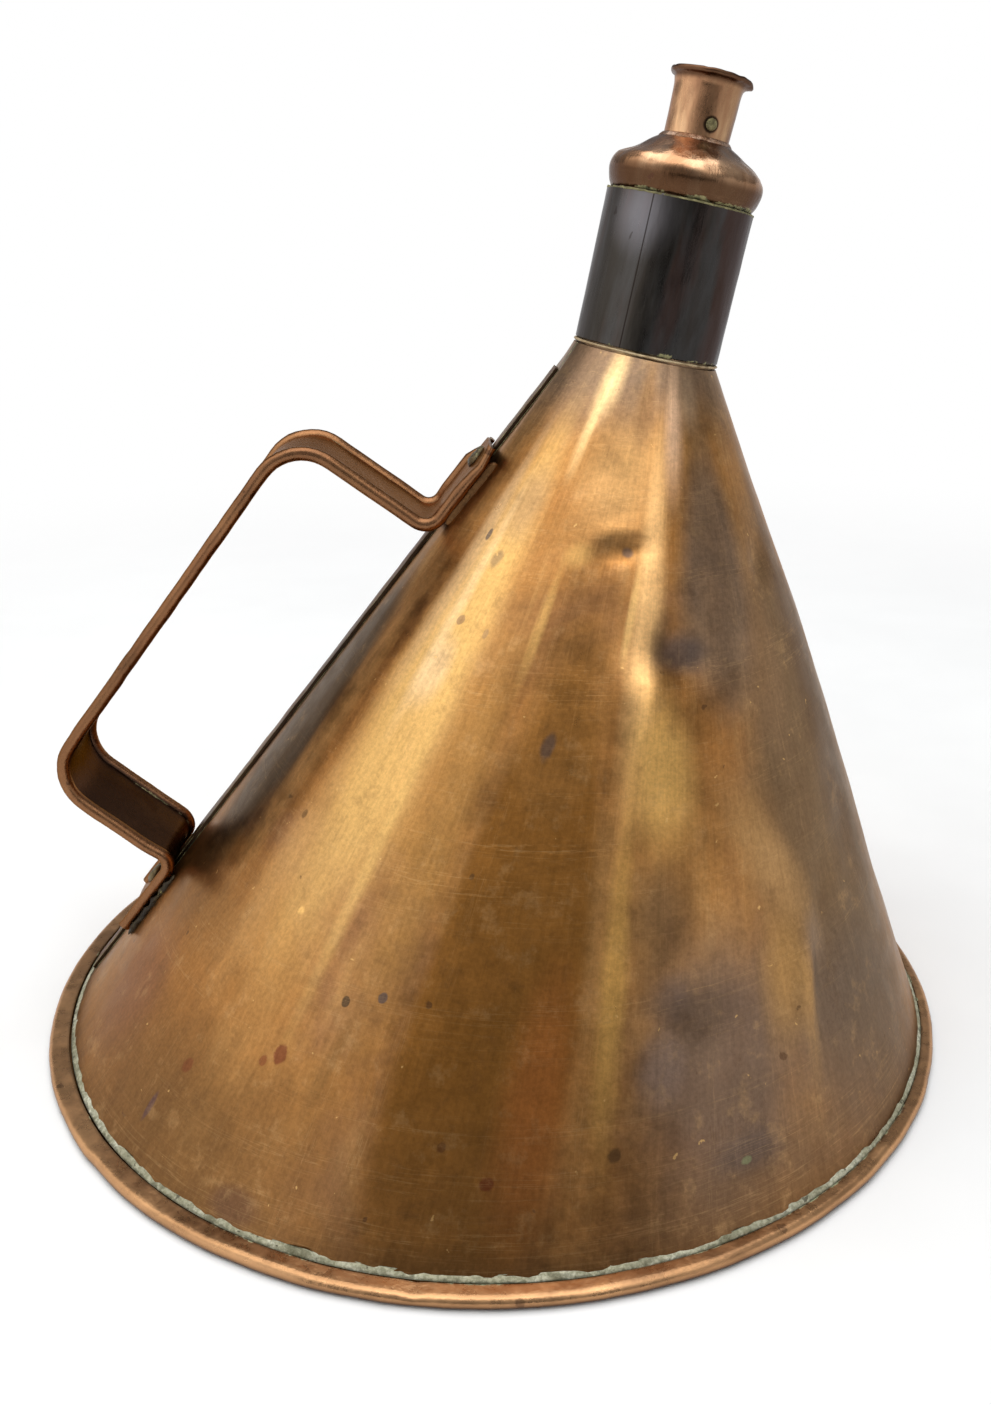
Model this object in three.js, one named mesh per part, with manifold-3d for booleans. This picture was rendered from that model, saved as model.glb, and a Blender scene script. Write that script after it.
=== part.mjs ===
// Conical copper pot still: a raked neck, a head that lifts off, and a strap handle with rolled edges.
// Millimetres, +Z up. The origin is the centre of the underside. The neck leans towards +X, and the
// handle stands on the -X side, along the seam of the cone.

import * as THREE from "three";
import { mergeVertices } from "three/addons/utils/BufferGeometryUtils.js";
import Module from "manifold-3d";

const wasm = await Module();
wasm.setup();

// Copper sheet, and the clearance left between pieces that are made apart
const sheet = 0.8;
const gap = 0.3;

// Cone: an oblique cone between a level foot circle and a mouth that leans with the neck
const coneFootRadius = 104.2;
const coneFootShift = 1;
const mouthRadius = 15.5;
const mouthForward = 34.9;
const mouthHeight = 154.7;
const neckLean = THREE.MathUtils.degToRad(11.8);
const flangeInset = 2 * gap;

// Base plate: a disc whose edge is turned up and folded flat over the flange of the cone. The lip of the
// fold ends just outside the foot of the cone, where the foot reaches furthest out.
const rimLipWidth = 2.9;
const rimLipClearance = 0.25;
const rimLipRadius = coneFootRadius + coneFootShift + rimLipClearance;
const rimRadius = rimLipRadius + rimLipWidth;
const rimHeight = 3 * sheet + 2 * gap;

// Seam down the handle side: the wall is drawn in flat along it, most at the top, under a raised lap
const seamDrawnIn = 1.05;
const seamWidth = 7;
const seamProud = 0.7;
const seamFootHeight = 5.2;
const seamTopMargin = 7.2;

// Hard solder rings and runs
const baseSolderWidth = 0.45;
const baseSolderRise = 0.9;
const neckSolderThickness = 0.5;
const neckSolderProud = 0.25;
const spoutSolderWidth = 1.25;
const spoutSolderRise = 1.25;
const footSolderWidth = 1.8;
const footSolderRise = 1;
const footSolderMargin = 2;

// Collar of the cone inside the neck, and the neck tube
const collarHeight = 6;
const neckFootRadius = 15.45;
const neckTopRadius = 15.35;
const neckTop = 30.65;

// Head: a skirt that slides in the neck, and a shouldered dome that rests on its edge
const skirtDepth = 14;
const headFootRadius = 14.95;
const bulgeRadius = 15.9;
const bulgeHeight = 5;
const bulgeRound = 2.3;
const bulgeDraw = 1.3;
const shoulderHeight = 11.5;
const collarLipWidth = 1.95;
const collarLipDrop = 1.1;

// Spout: a short tube, widening a little, with its lip turned out
const spoutRadius = 6.65;
const spoutTopRadius = 6.95;
const spoutTail = 2.4;
const lipHeight = 24;
const lipRadius = 8.3;
const lipFaceWidth = 1;
const lipThickness = 0.6;
const flareHeight = 2;

// Pin through the wall of the spout
const pinHeight = 14.5;
const pinTurn = THREE.MathUtils.degToRad(11.8);
const pinRadius = 1.2;
const pinTailRadius = 2;
const pinTailThickness = 0.6;
const pinDome = 0.45;

// Handle: stations along the side of the cone from its foot, and its reach out from the side
const handleFootStart = 24.6;
const handleLowBend = 46.6;
const handleLowCorner = 47.4;
const handleHighCorner = 146.5;
const handleHighBend = 148.2;
const handleFootEnd = 169.8;
const handleLowReach = 36.6;
const handleHighReach = 37.1;
const bendRadius = 4;
const cornerRadius = 10.5;
const beadSpacing = 22;
const beadRadius = 1.5;
const beadWall = 0.6;
const wireRadius = 0.6;
const wireInset = 8;

// Rivets that hold the feet of the handle
const lowRivetStation = 34.6;
const highRivetStation = 165.5;
const rivetRadius = 1.5;
const rivetHeadRadius = 2.6;
const rivetHeadRise = 1.3;
const rivetTailRadius = 2.3;
const rivetTailThickness = 1;

// Facets round the large and the small circles, and along one bend of the handle
const wideFacets = 72;
const narrowFacets = 40;
const bendSteps = 5;
const beadFacets = 10;
const wireFacets = 8;

// Materials
const finish = (color, roughness) => new THREE.MeshStandardMaterial({ color, roughness, metalness: 1 });
const coneCopper = finish(0x9a6434, 0.38);
const rimCopper = finish(0xa8683f, 0.36);
const headCopper = finish(0xc07b50, 0.3);
const handleCopper = finish(0x8a5738, 0.42);
const darkTube = finish(0x332925, 0.35);
const greySolder = finish(0x7f8672, 0.7);
const wireIron = finish(0x4a4440, 0.6);

// Side of the cone along the seam, from its foot to the mouth, turned in by what the wall is drawn in
const footLeft = coneFootShift - coneFootRadius;
const flangeTop = 2 * sheet + gap;
const flangeBottom = sheet + gap;
const sideRun = mouthForward - mouthRadius * Math.cos(neckLean) - footLeft;
const sideRise = mouthHeight + mouthRadius * Math.sin(neckLean) - flangeTop;
const sideLength = Math.hypot(sideRun, sideRise);
const sideSlope = Math.atan2(sideRise, sideRun) - Math.asin(seamDrawnIn / sideLength);
const throatStation = sideLength - seamTopMargin;

// Wall of the cone and its clearance, measured level across the handle side
const wallAcross = sheet / Math.sin(sideSlope);
const gapAcross = gap / Math.sin(sideSlope);

// Groups: the pot, the neck on its leaning axis with the head on it, and the side of the cone
const still = new THREE.Group();
const neckGroup = new THREE.Group();
neckGroup.position.set(mouthForward, 0, mouthHeight);
neckGroup.rotation.y = neckLean;
const headGroup = new THREE.Group();
headGroup.position.z = neckTop;
neckGroup.add(headGroup);
const sideGroup = new THREE.Group();
sideGroup.position.set(footLeft, 0, flangeTop);
sideGroup.rotation.y = -sideSlope;
sideGroup.updateMatrix();
neckGroup.updateMatrix();
still.add(neckGroup, sideGroup);

function addMesh(group, name, geometry, material) {
  const mesh = new THREE.Mesh(geometry, material.clone());
  mesh.name = name;
  group.add(mesh);
}

// Signed volume tells whether the faces point out
function facingOut(geometry) {
  const position = geometry.getAttribute("position");
  const index = geometry.index.array;
  const corner = [new THREE.Vector3(), new THREE.Vector3(), new THREE.Vector3()];
  let volume = 0;
  for (let i = 0; i < index.length; i += 3) {
    corner.forEach((c, k) => c.fromBufferAttribute(position, index[i + k]));
    volume += corner[0].dot(corner[1].cross(corner[2]));
  }
  if (volume > 0) return geometry;
  for (let i = 0; i < index.length; i += 3) {
    [index[i + 1], index[i + 2]] = [index[i + 2], index[i + 1]];
  }
  return geometry;
}

function welded(geometry) {
  const bare = geometry.clone();
  bare.deleteAttribute("normal");
  bare.deleteAttribute("uv");
  return facingOut(mergeVertices(bare, 1e-4));
}

// A profile of [radius, height] points turned about +Z
function turned(profile, facets) {
  const lathe = new THREE.LatheGeometry(
    profile.map(([radius, height]) => new THREE.Vector2(radius, height)),
    facets,
  );
  return welded(lathe.rotateX(Math.PI / 2));
}

// A ring whose closed section changes on the way round: sections[k] holds the corners at angle k
function ringed(sections) {
  const corners = sections[0].length;
  const points = sections.flat();
  const index = [];
  sections.forEach((_, k) => {
    const next = (k + 1) % sections.length;
    for (let i = 0; i < corners; i++) {
      const j = (i + 1) % corners;
      index.push(k * corners + i, next * corners + i, next * corners + j);
      index.push(k * corners + i, next * corners + j, k * corners + j);
    }
  });
  return facingOut(new THREE.BufferGeometry().setFromPoints(points).setIndex(index));
}

// An anticlockwise outline with clockwise holes carried along frames, closed by a cap at each end
function swept(outline, holes, frames) {
  const loops = [outline, ...holes];
  const flat = loops.flat();
  const points = frames.flatMap((frame) =>
    flat.map(([side, out]) => new THREE.Vector3(0, side, out).applyMatrix4(frame)),
  );
  const index = [];
  for (let k = 0; k + 1 < frames.length; k++) {
    let start = 0;
    for (const loop of loops) {
      for (let i = 0; i < loop.length; i++) {
        const a = k * flat.length + start + i;
        const b = k * flat.length + start + ((i + 1) % loop.length);
        index.push(a, a + flat.length, b + flat.length, a, b + flat.length, b);
      }
      start += loop.length;
    }
  }
  const asVectors = (loop) => loop.map(([side, out]) => new THREE.Vector2(side, out));
  const caps = THREE.ShapeUtils.triangulateShape(asVectors(outline), holes.map(asVectors));
  const last = (frames.length - 1) * flat.length;
  for (const [a, b, c] of caps) {
    index.push(a, b, c, last + a, last + c, last + b);
  }
  return facingOut(new THREE.BufferGeometry().setFromPoints(points).setIndex(index));
}

function solid(geometry) {
  const merged = welded(geometry);
  const vertProperties = merged.getAttribute("position").array;
  return new wasm.Manifold(
    new wasm.Mesh({ numProp: 3, vertProperties, triVerts: new Uint32Array(merged.index.array) }),
  );
}

function surface(made) {
  const { vertProperties, triVerts } = made.getMesh();
  return new THREE.BufferGeometry()
    .setAttribute("position", new THREE.BufferAttribute(vertProperties, 3))
    .setIndex(new THREE.BufferAttribute(triVerts, 1));
}

// A round bar along +Z between two heights
function bar(radius, low, high) {
  return new THREE.CylinderGeometry(radius, radius, high - low, narrowFacets / 2)
    .rotateX(Math.PI / 2)
    .translate(0, 0, (low + high) / 2);
}

// Points of the cone
const aroundAngles = Array.from({ length: wideFacets }, (_, k) => (2 * Math.PI * k) / wideFacets);

function footPoint(angle, radius, height, shift = coneFootShift) {
  return new THREE.Vector3(shift + radius * Math.cos(angle), radius * Math.sin(angle), height);
}

function neckPoint(angle, radius, along) {
  return new THREE.Vector3(radius * Math.cos(angle), radius * Math.sin(angle), along).applyMatrix4(
    neckGroup.matrix,
  );
}

const mouthShoulder = -(neckSolderThickness / 2 + gap);
const neckFoot = neckSolderThickness / 2 + gap;
const toSide = sideGroup.matrix.clone().invert();

// A point of the throat, where the seam ends, drawn in to the flat of the seam
function throatPoint(angle, inset) {
  const point = footPoint(angle, coneFootRadius - inset, flangeTop)
    .lerp(neckPoint(angle, mouthRadius - inset, mouthShoulder), throatStation / sideLength)
    .applyMatrix4(toSide);
  point.z = Math.min(point.z, -inset * Math.sin(sideSlope));
  return point.applyMatrix4(sideGroup.matrix);
}

// Outer surface of the cone at an angle, a share of the way from the foot to the throat
function conePoint(angle, share) {
  return footPoint(angle, coneFootRadius, flangeTop).lerp(throatPoint(angle, 0), share);
}

// Base plate
function basePlate() {
  const edgeCentre = rimRadius - rimHeight / 2;
  const arc = (radius, from, to) =>
    Array.from({ length: bendSteps }, (_, k) => {
      const angle = from + ((to - from) * k) / (bendSteps - 1);
      return [edgeCentre + radius * Math.cos(angle), rimHeight / 2 + radius * Math.sin(angle)];
    });
  return turned(
    [
      [0, 0],
      ...arc(rimHeight / 2, -Math.PI / 2, Math.PI / 2),
      [rimLipRadius, rimHeight],
      [rimLipRadius, rimHeight - sheet],
      ...arc(rimHeight / 2 - sheet, Math.PI / 2, -Math.PI / 2),
      [0, sheet],
    ],
    wideFacets,
  );
}
addMesh(still, "base_plate", basePlate(), rimCopper);

// Cone with its flange below, its collar above, the lap of the seam and the two rivet holes
const neckWallInner = (along) =>
  neckFootRadius - sheet + ((neckTopRadius - neckFootRadius) * (along - neckFoot)) / (neckTop - neckFoot);
const collarRadius = Math.min(neckWallInner(neckFoot), neckWallInner(collarHeight)) - gap;

function coneWall() {
  const flangeRadius = rimRadius - sheet - flangeInset;
  return ringed(
    aroundAngles.map((angle) => [
      footPoint(angle, flangeRadius, flangeTop, 0),
      footPoint(angle, coneFootRadius, flangeTop),
      throatPoint(angle, 0),
      neckPoint(angle, mouthRadius, mouthShoulder),
      neckPoint(angle, collarRadius, mouthShoulder),
      neckPoint(angle, collarRadius, collarHeight),
      neckPoint(angle, collarRadius - sheet, collarHeight),
      neckPoint(angle, collarRadius - sheet, mouthShoulder - sheet),
      neckPoint(angle, mouthRadius - wallAcross / 2, mouthShoulder - sheet),
      throatPoint(angle, wallAcross),
      footPoint(angle, coneFootRadius - wallAcross / 2, flangeBottom),
      footPoint(angle, flangeRadius, flangeBottom, 0),
    ]),
  );
}

function seamLap() {
  const start = (seamFootHeight - flangeTop) / Math.sin(sideSlope);
  const buried = 0.6 * sheet;
  return new THREE.BoxGeometry(throatStation - start, seamWidth, seamProud + buried)
    .translate((start + throatStation) / 2, 0, (seamProud - buried) / 2)
    .applyMatrix4(sideGroup.matrix);
}

const rivetStations = { lower: lowRivetStation, upper: highRivetStation };
const webFace = seamProud + gap + sheet;

function rivetHole(station) {
  const depth = 4 * sheet;
  return bar(rivetRadius + gap, -depth, webFace + depth).translate(station, 0, 0);
}

function coneBody() {
  let made = solid(coneWall()).add(solid(seamLap()));
  for (const station of Object.values(rivetStations)) {
    made = made.subtract(solid(rivetHole(station).applyMatrix4(sideGroup.matrix)));
  }
  return surface(made);
}
addMesh(still, "cone_body", coneBody(), coneCopper);

// Solder run round the foot of the cone, on the folded lip
function baseSolder() {
  const low = rimHeight + gap;
  const outer = rimLipRadius + baseSolderWidth;
  const beside = (angle, height) => {
    const point = conePoint(angle, (height - flangeTop) / (throatPoint(angle, 0).z - flangeTop));
    const out = new THREE.Vector3(Math.cos(angle), Math.sin(angle), 0);
    return point.addScaledVector(out, gapAcross);
  };
  return ringed(
    aroundAngles.map((angle) => [
      beside(angle, low),
      footPoint(angle, outer, low, 0),
      beside(angle, low + baseSolderRise),
    ]),
  );
}
addMesh(still, "base_solder", baseSolder(), greySolder);

// Neck tube and the solder ring under it
addMesh(
  neckGroup,
  "neck_tube",
  turned(
    [
      [neckFootRadius, neckFoot],
      [neckTopRadius, neckTop],
      [neckTopRadius - sheet, neckTop],
      [neckFootRadius - sheet, neckFoot],
      [neckFootRadius, neckFoot],
    ],
    narrowFacets,
  ),
  darkTube,
);

function neckSolder() {
  const half = neckSolderThickness / 2;
  const inner = collarRadius + gap;
  return turned(
    [
      [inner, -half],
      [mouthRadius, -half],
      [mouthRadius + neckSolderProud, 0],
      [mouthRadius, half],
      [inner, half],
      [inner, -half],
    ],
    narrowFacets,
  );
}
addMesh(neckGroup, "neck_solder", neckSolder(), greySolder);

// Head: the outside is a rounded bulge and a straight shoulder, and the inside follows one sheet away
function insetLine(points, distance) {
  return points.map((point, k) => {
    const before = points[Math.max(k - 1, 0)];
    const after = points[Math.min(k + 1, points.length - 1)];
    const along = after.clone().sub(before).normalize();
    return new THREE.Vector2(point.x - along.y * distance, point.y + along.x * distance);
  });
}

function headShoulder() {
  const skirtRadius = neckTopRadius - sheet - gap;
  const holeRadius = spoutRadius + gap;
  const bulge = new THREE.SplineCurve([
    new THREE.Vector2(headFootRadius, gap),
    new THREE.Vector2(bulgeRadius, bulgeHeight),
    new THREE.Vector2(bulgeRadius - bulgeDraw, bulgeHeight + bulgeRound),
  ]);
  const outside = [
    ...bulge.getPoints(bendSteps),
    new THREE.Vector2(holeRadius + collarLipWidth, shoulderHeight - collarLipDrop),
    new THREE.Vector2(holeRadius, shoulderHeight),
  ];
  const inside = insetLine(outside.slice(1, -1), sheet).reverse();
  return turned(
    [
      [skirtRadius, -skirtDepth],
      [skirtRadius, gap],
      ...outside.map(({ x, y }) => [x, y]),
      [holeRadius, shoulderHeight - sheet],
      ...inside.map(({ x, y }) => [x, y]),
      [skirtRadius - sheet, gap + sheet],
      [skirtRadius - sheet, -skirtDepth],
      [skirtRadius, -skirtDepth],
    ],
    narrowFacets,
  );
}
addMesh(headGroup, "head_shoulder", headShoulder(), headCopper);

// Spout with its turned-out lip and the hole for its pin
const spoutBore = spoutTopRadius - sheet;
const toPin = new THREE.Matrix4()
  .makeRotationZ(pinTurn)
  .multiply(new THREE.Matrix4().makeTranslation(0, 0, pinHeight))
  .multiply(new THREE.Matrix4().makeRotationX(Math.PI / 2));

function spoutTube() {
  const foot = shoulderHeight - spoutTail;
  const lipInner = lipRadius - lipFaceWidth;
  const tube = turned(
    [
      [spoutRadius, foot],
      [spoutTopRadius, lipHeight - flareHeight],
      [lipRadius - lipThickness, lipHeight - lipThickness],
      [lipRadius, lipHeight - lipThickness],
      [lipRadius, lipHeight],
      [lipInner, lipHeight],
      [spoutBore, lipHeight - flareHeight - lipThickness],
      [spoutRadius - sheet, foot],
      [spoutRadius, foot],
    ],
    narrowFacets,
  );
  const hole = bar(pinRadius + gap, spoutBore - 2 * sheet, spoutTopRadius + sheet).applyMatrix4(toPin);
  return surface(solid(tube).subtract(solid(hole)));
}
addMesh(headGroup, "spout_tube", spoutTube(), headCopper);

function spoutSolder() {
  const inner = spoutRadius + gap;
  const outer = inner + spoutSolderWidth;
  const slopeFall = (spoutSolderWidth * collarLipDrop) / collarLipWidth;
  const low = shoulderHeight + gap;
  return turned(
    [
      [inner, low],
      [outer, low - slopeFall + gap / 4],
      [inner, low + spoutSolderRise],
      [inner, low],
    ],
    narrowFacets,
  );
}
addMesh(headGroup, "spout_solder", spoutSolder(), greySolder);

// A rivet turned about its own axis: tail, shank and domed head, with heights along the axis
function rivetProfile(tailRadius, tailLow, tailHigh, shankRadius, headRadius, headLow, headHigh) {
  const dome = Array.from({ length: 5 }, (_, k) => {
    const angle = (Math.PI / 8) * k;
    return [headRadius * Math.cos(angle), headLow + (headHigh - headLow) * Math.sin(angle)];
  });
  const flat = [
    [0, tailLow],
    [tailRadius, tailLow],
    [tailRadius, tailHigh],
    [shankRadius, tailHigh],
    [shankRadius, headLow],
  ];
  const start = headRadius > shankRadius ? 0 : 1;
  return [...flat, ...dome.slice(start, -1), [0, headHigh]];
}

function spoutPin() {
  const wallOut = THREE.MathUtils.mapLinear(
    pinHeight, shoulderHeight - spoutTail, lipHeight - flareHeight, spoutRadius, spoutTopRadius,
  );
  const tailHigh = Math.sqrt((wallOut - sheet) ** 2 - pinTailRadius ** 2) - gap;
  return turned(
    rivetProfile(
      pinTailRadius,
      tailHigh - pinTailThickness,
      tailHigh,
      pinRadius,
      pinRadius,
      wallOut,
      wallOut + pinDome,
    ),
    narrowFacets / 2,
  ).applyMatrix4(toPin);
}
addMesh(headGroup, "spout_pin", spoutPin(), greySolder);

// Line of the handle in its own plane: straight stretches joined by arcs
const footLevel = seamProud + gap + sheet / 2;
const handleLine = [
  [handleFootStart, footLevel, 0],
  [handleLowBend, footLevel, bendRadius],
  [handleLowCorner, handleLowReach, cornerRadius],
  [handleHighCorner, handleHighReach, cornerRadius],
  [handleHighBend, footLevel, bendRadius],
  [handleFootEnd, footLevel, 0],
];

// A frame has +X along the line, +Y across the strap and +Z on its outer side
function frameAt(point, angle) {
  return new THREE.Matrix4()
    .makeTranslation(point.x, 0, point.y)
    .multiply(new THREE.Matrix4().makeRotationY(-angle));
}

function handleFrames(line) {
  const corners = line.map(([station, reach]) => new THREE.Vector2(station, reach));
  const headings = corners.slice(1).map((corner, k) => corner.clone().sub(corners[k]).angle());
  const frames = [frameAt(corners[0], headings[0])];
  for (let k = 1; k + 1 < corners.length; k++) {
    const radius = line[k][2];
    const from = headings[k - 1];
    const turn = Math.atan2(Math.sin(headings[k] - from), Math.cos(headings[k] - from));
    const side = Math.sign(turn);
    const setback = radius * Math.tan(Math.abs(turn) / 2);
    const back = new THREE.Vector2(Math.cos(from), Math.sin(from)).multiplyScalar(setback);
    const start = corners[k].clone().sub(back);
    const towardCentre = new THREE.Vector2(-Math.sin(from), Math.cos(from)).multiplyScalar(side);
    const centre = start.clone().addScaledVector(towardCentre, radius);
    for (let step = 0; step <= bendSteps; step++) {
      const heading = from + (turn * step) / bendSteps;
      const out = new THREE.Vector2(Math.sin(heading), -Math.cos(heading)).multiplyScalar(side * radius);
      frames.push(frameAt(centre.clone().add(out), heading));
    }
  }
  frames.push(frameAt(corners.at(-1), headings.at(-1)));
  return frames;
}

function circleLoop(radius, side, facets) {
  return Array.from({ length: facets }, (_, k) => {
    const angle = (2 * Math.PI * (k + 0.5)) / facets;
    return [side + radius * Math.cos(angle), radius * Math.sin(angle)];
  });
}

// Section of the strap: a flat web with a rolled edge on each side
function strapOutline() {
  const half = beadSpacing / 2;
  const meet = Math.asin(sheet / 2 / beadRadius);
  const roll = Array.from({ length: beadFacets + 1 }, (_, k) => {
    const angle = -Math.PI + meet + ((2 * Math.PI - 2 * meet) * k) / beadFacets;
    return [half + beadRadius * Math.cos(angle), beadRadius * Math.sin(angle)];
  });
  return [...roll, ...roll.map(([side, out]) => [-side, -out])];
}

function handleStrap() {
  const bore = beadRadius - beadWall;
  const bores = [1, -1].map((side) => circleLoop(bore, (side * beadSpacing) / 2, beadFacets).reverse());
  const strap = solid(swept(strapOutline(), bores, handleFrames(handleLine)));
  return surface(
    strap
      .subtract(solid(rivetHole(rivetStations.lower)))
      .subtract(solid(rivetHole(rivetStations.upper))),
  );
}
addMesh(sideGroup, "handle_strap", handleStrap(), handleCopper);

// Wires that the edges are rolled round, which stop short of the feet's ends
function edgeWire(side) {
  const line = handleLine.map((corner) => [...corner]);
  line[0][0] += wireInset;
  line.at(-1)[0] -= wireInset;
  const loop = circleLoop(wireRadius, (side * beadSpacing) / 2, wireFacets);
  return swept(loop, [], handleFrames(line));
}
addMesh(sideGroup, "handle_wire_front", edgeWire(-1), wireIron);
addMesh(sideGroup, "handle_wire_back", edgeWire(1), wireIron);

// Rivets through the feet, the seam and the wall of the cone
function footRivet(station) {
  const tailHigh = -(sheet + gap + sheet / 4);
  return turned(
    rivetProfile(
      rivetTailRadius,
      tailHigh - rivetTailThickness,
      tailHigh,
      rivetRadius,
      rivetHeadRadius,
      webFace + gap,
      webFace + gap + rivetHeadRise,
    ),
    narrowFacets / 2,
  ).translate(station, 0, 0);
}
addMesh(sideGroup, "lower_rivet", footRivet(rivetStations.lower), handleCopper);
addMesh(sideGroup, "upper_rivet", footRivet(rivetStations.upper), handleCopper);

// Solder runs along both edges of each foot, lying on the curve of the cone
// Height of the cone's surface beside the seam, at a station and a distance across
function coneLevel(station, across) {
  const radius = THREE.MathUtils.lerp(coneFootRadius, mouthRadius, station / sideLength);
  const angle = Math.PI - Math.asin(across / radius);
  return conePoint(angle, station / throatStation).applyMatrix4(toSide).z;
}

function footSolder(side, start, end) {
  const inner = beadSpacing / 2 + beadRadius - gap;
  const crest = beadSpacing / 2 + beadRadius + gap;
  const outer = inner + footSolderWidth;
  const corners = [
    [inner, 0],
    [outer, 0],
    [crest, footSolderRise],
  ];
  const sections = [start, end].map((station) =>
    corners.map(
      ([across, rise]) =>
        new THREE.Vector3(station, side * across, coneLevel(station, across) + gap + rise),
    ),
  );
  const points = sections.flat();
  const sides = [0, 1, 2].flatMap((i) => {
    const j = (i + 1) % 3;
    return [i, i + 3, j + 3, i, j + 3, j];
  });
  const geometry = new THREE.BufferGeometry().setFromPoints(points);
  return facingOut(geometry.setIndex([...sides, 0, 1, 2, 3, 5, 4]));
}

const footSpans = {
  lower: [handleFootStart, handleLowBend - bendRadius - footSolderMargin],
  upper: [handleHighBend + bendRadius + footSolderMargin, handleFootEnd],
};
for (const [foot, [start, end]] of Object.entries(footSpans)) {
  addMesh(sideGroup, `${foot}_solder_front`, footSolder(-1, start, end), greySolder);
  addMesh(sideGroup, `${foot}_solder_back`, footSolder(1, start, end), greySolder);
}

export default still;
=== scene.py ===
# %% [markdown]
# # A conical copper pot still, dressed for its portrait
# The still is simple sheet work: a cone on a folded base, a dark neck tube, a head that lifts off with a
# short spout, and a strap handle with rolled edges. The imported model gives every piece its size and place.
# This lesson models each visible piece again with the wear of the real one, and gives it its finish.

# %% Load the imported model
import math

import bmesh
import bpy
import numpy as np
from mathutils import Matrix, Vector, noise


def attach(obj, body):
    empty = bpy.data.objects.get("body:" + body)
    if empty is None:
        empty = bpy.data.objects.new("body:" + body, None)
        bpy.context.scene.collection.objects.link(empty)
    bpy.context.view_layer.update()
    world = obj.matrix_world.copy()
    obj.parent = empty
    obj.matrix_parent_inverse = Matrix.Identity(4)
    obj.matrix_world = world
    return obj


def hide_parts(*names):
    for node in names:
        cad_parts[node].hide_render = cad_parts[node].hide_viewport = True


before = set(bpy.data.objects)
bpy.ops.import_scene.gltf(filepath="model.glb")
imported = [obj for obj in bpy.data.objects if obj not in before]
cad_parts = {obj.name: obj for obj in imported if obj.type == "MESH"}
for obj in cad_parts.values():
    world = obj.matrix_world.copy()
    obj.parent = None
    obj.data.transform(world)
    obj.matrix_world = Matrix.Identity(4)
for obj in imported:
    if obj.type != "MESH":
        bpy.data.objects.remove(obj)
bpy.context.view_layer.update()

# %% [markdown]
# ## Sizes
# All sizes are in millimetres, as a maker would note them, and are turned into metres only when they reach
# Blender. The cone is oblique: its foot circle lies level, and its mouth leans with the neck.

# %% Sizes of the still
MM = 0.001
SHEET = 0.8
RIM_RADIUS = 108.35
LIP_RADIUS = 105.45
RIM_HEIGHT = 3.0
FOOT_RADIUS = 104.2
FOOT_SHIFT = 1.0
FOOT_HEIGHT = 1.9
MOUTH_RADIUS = 15.5
MOUTH_CENTRE = (34.9, 0.0, 154.7)
NECK_LEAN = math.radians(11.8)
NECK_TOP = 30.65
MOUTH_SHOULDER = -0.55
COLLAR_RADIUS = 14.33
COLLAR_HEIGHT = 6.0
SEAM_DRAWN_IN = 1.05
SEAM_WIDTH = 7.0
SEAM_PROUD = 0.7
SEAM_MARGIN = 7.2
print("base", 2 * RIM_RADIUS, "mm across, mouth", 2 * MOUTH_RADIUS, "mm across")

# %% [markdown]
# ## Two leaning frames
# The neck and the head stand on an axis that leans 11.8 degrees towards +X. The handle and the seam lie along
# the side of the cone on -X. A piece is easiest to model upright at the origin, and is then laid into place
# with one matrix, which is applied at once so that the finished piece sits unturned at the origin.

# %% Frames of the neck, the head and the side
neck_frame = Matrix.Translation(MOUTH_CENTRE) @ Matrix.Rotation(NECK_LEAN, 4, "Y")
head_frame = neck_frame @ Matrix.Translation((0, 0, NECK_TOP))

side_foot = Vector((FOOT_SHIFT - FOOT_RADIUS, 0, FOOT_HEIGHT))
side_run = MOUTH_CENTRE[0] - MOUTH_RADIUS * math.cos(NECK_LEAN) - side_foot.x
side_rise = MOUTH_CENTRE[2] + MOUTH_RADIUS * math.sin(NECK_LEAN) - side_foot.z
side_length = math.hypot(side_run, side_rise)
side_slope = math.atan2(side_rise, side_run) - math.asin(SEAM_DRAWN_IN / side_length)
throat_station = side_length - SEAM_MARGIN
side_frame = Matrix.Translation(side_foot) @ Matrix.Rotation(-side_slope, 4, "Y")
side_out = np.array(side_frame.to_3x3() @ Vector((0, 0, 1)))
print("side of the cone:", round(side_length, 2), "mm at", round(math.degrees(side_slope), 2), "degrees")

# %% [markdown]
# ## Working helpers
# An operator acts on everything that is selected, so each step first deselects all and then takes up one
# piece. Corners are selected by a rule on their place, and edges by how far they run along an axis. For finer
# work all corners are read as one table, moved together and written back.

# %% Take up a piece and select parts of it
def rest():
    if bpy.context.mode != "OBJECT":
        bpy.ops.object.mode_set(mode="OBJECT")
    bpy.ops.object.select_all(action="DESELECT")


def take(piece):
    rest()
    piece.select_set(True)
    bpy.context.view_layer.objects.active = piece


def choose(piece, rule):
    """Select the corners whose place in millimetres fits a rule."""
    mesh = bmesh.from_edit_mesh(piece.data)
    for corner in mesh.verts:
        corner.select_set(bool(rule(*(corner.co / MM))))
    mesh.select_flush(True)
    mesh.select_flush(False)
    bmesh.update_edit_mesh(piece.data)


def choose_long_edges(piece, axis, least):
    """Select the edges that run further along an axis (0, 1 or 2) than a length in millimetres."""
    bpy.ops.mesh.select_mode(type="EDGE")
    bpy.ops.mesh.select_all(action="DESELECT")
    mesh = bmesh.from_edit_mesh(piece.data)
    for edge in mesh.edges:
        run = edge.verts[0].co - edge.verts[1].co
        edge.select_set(abs(run[axis]) > least * MM)
    bmesh.update_edit_mesh(piece.data)


def named(name):
    piece = bpy.context.object
    piece.name = name
    piece.data.name = name
    return piece


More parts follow.
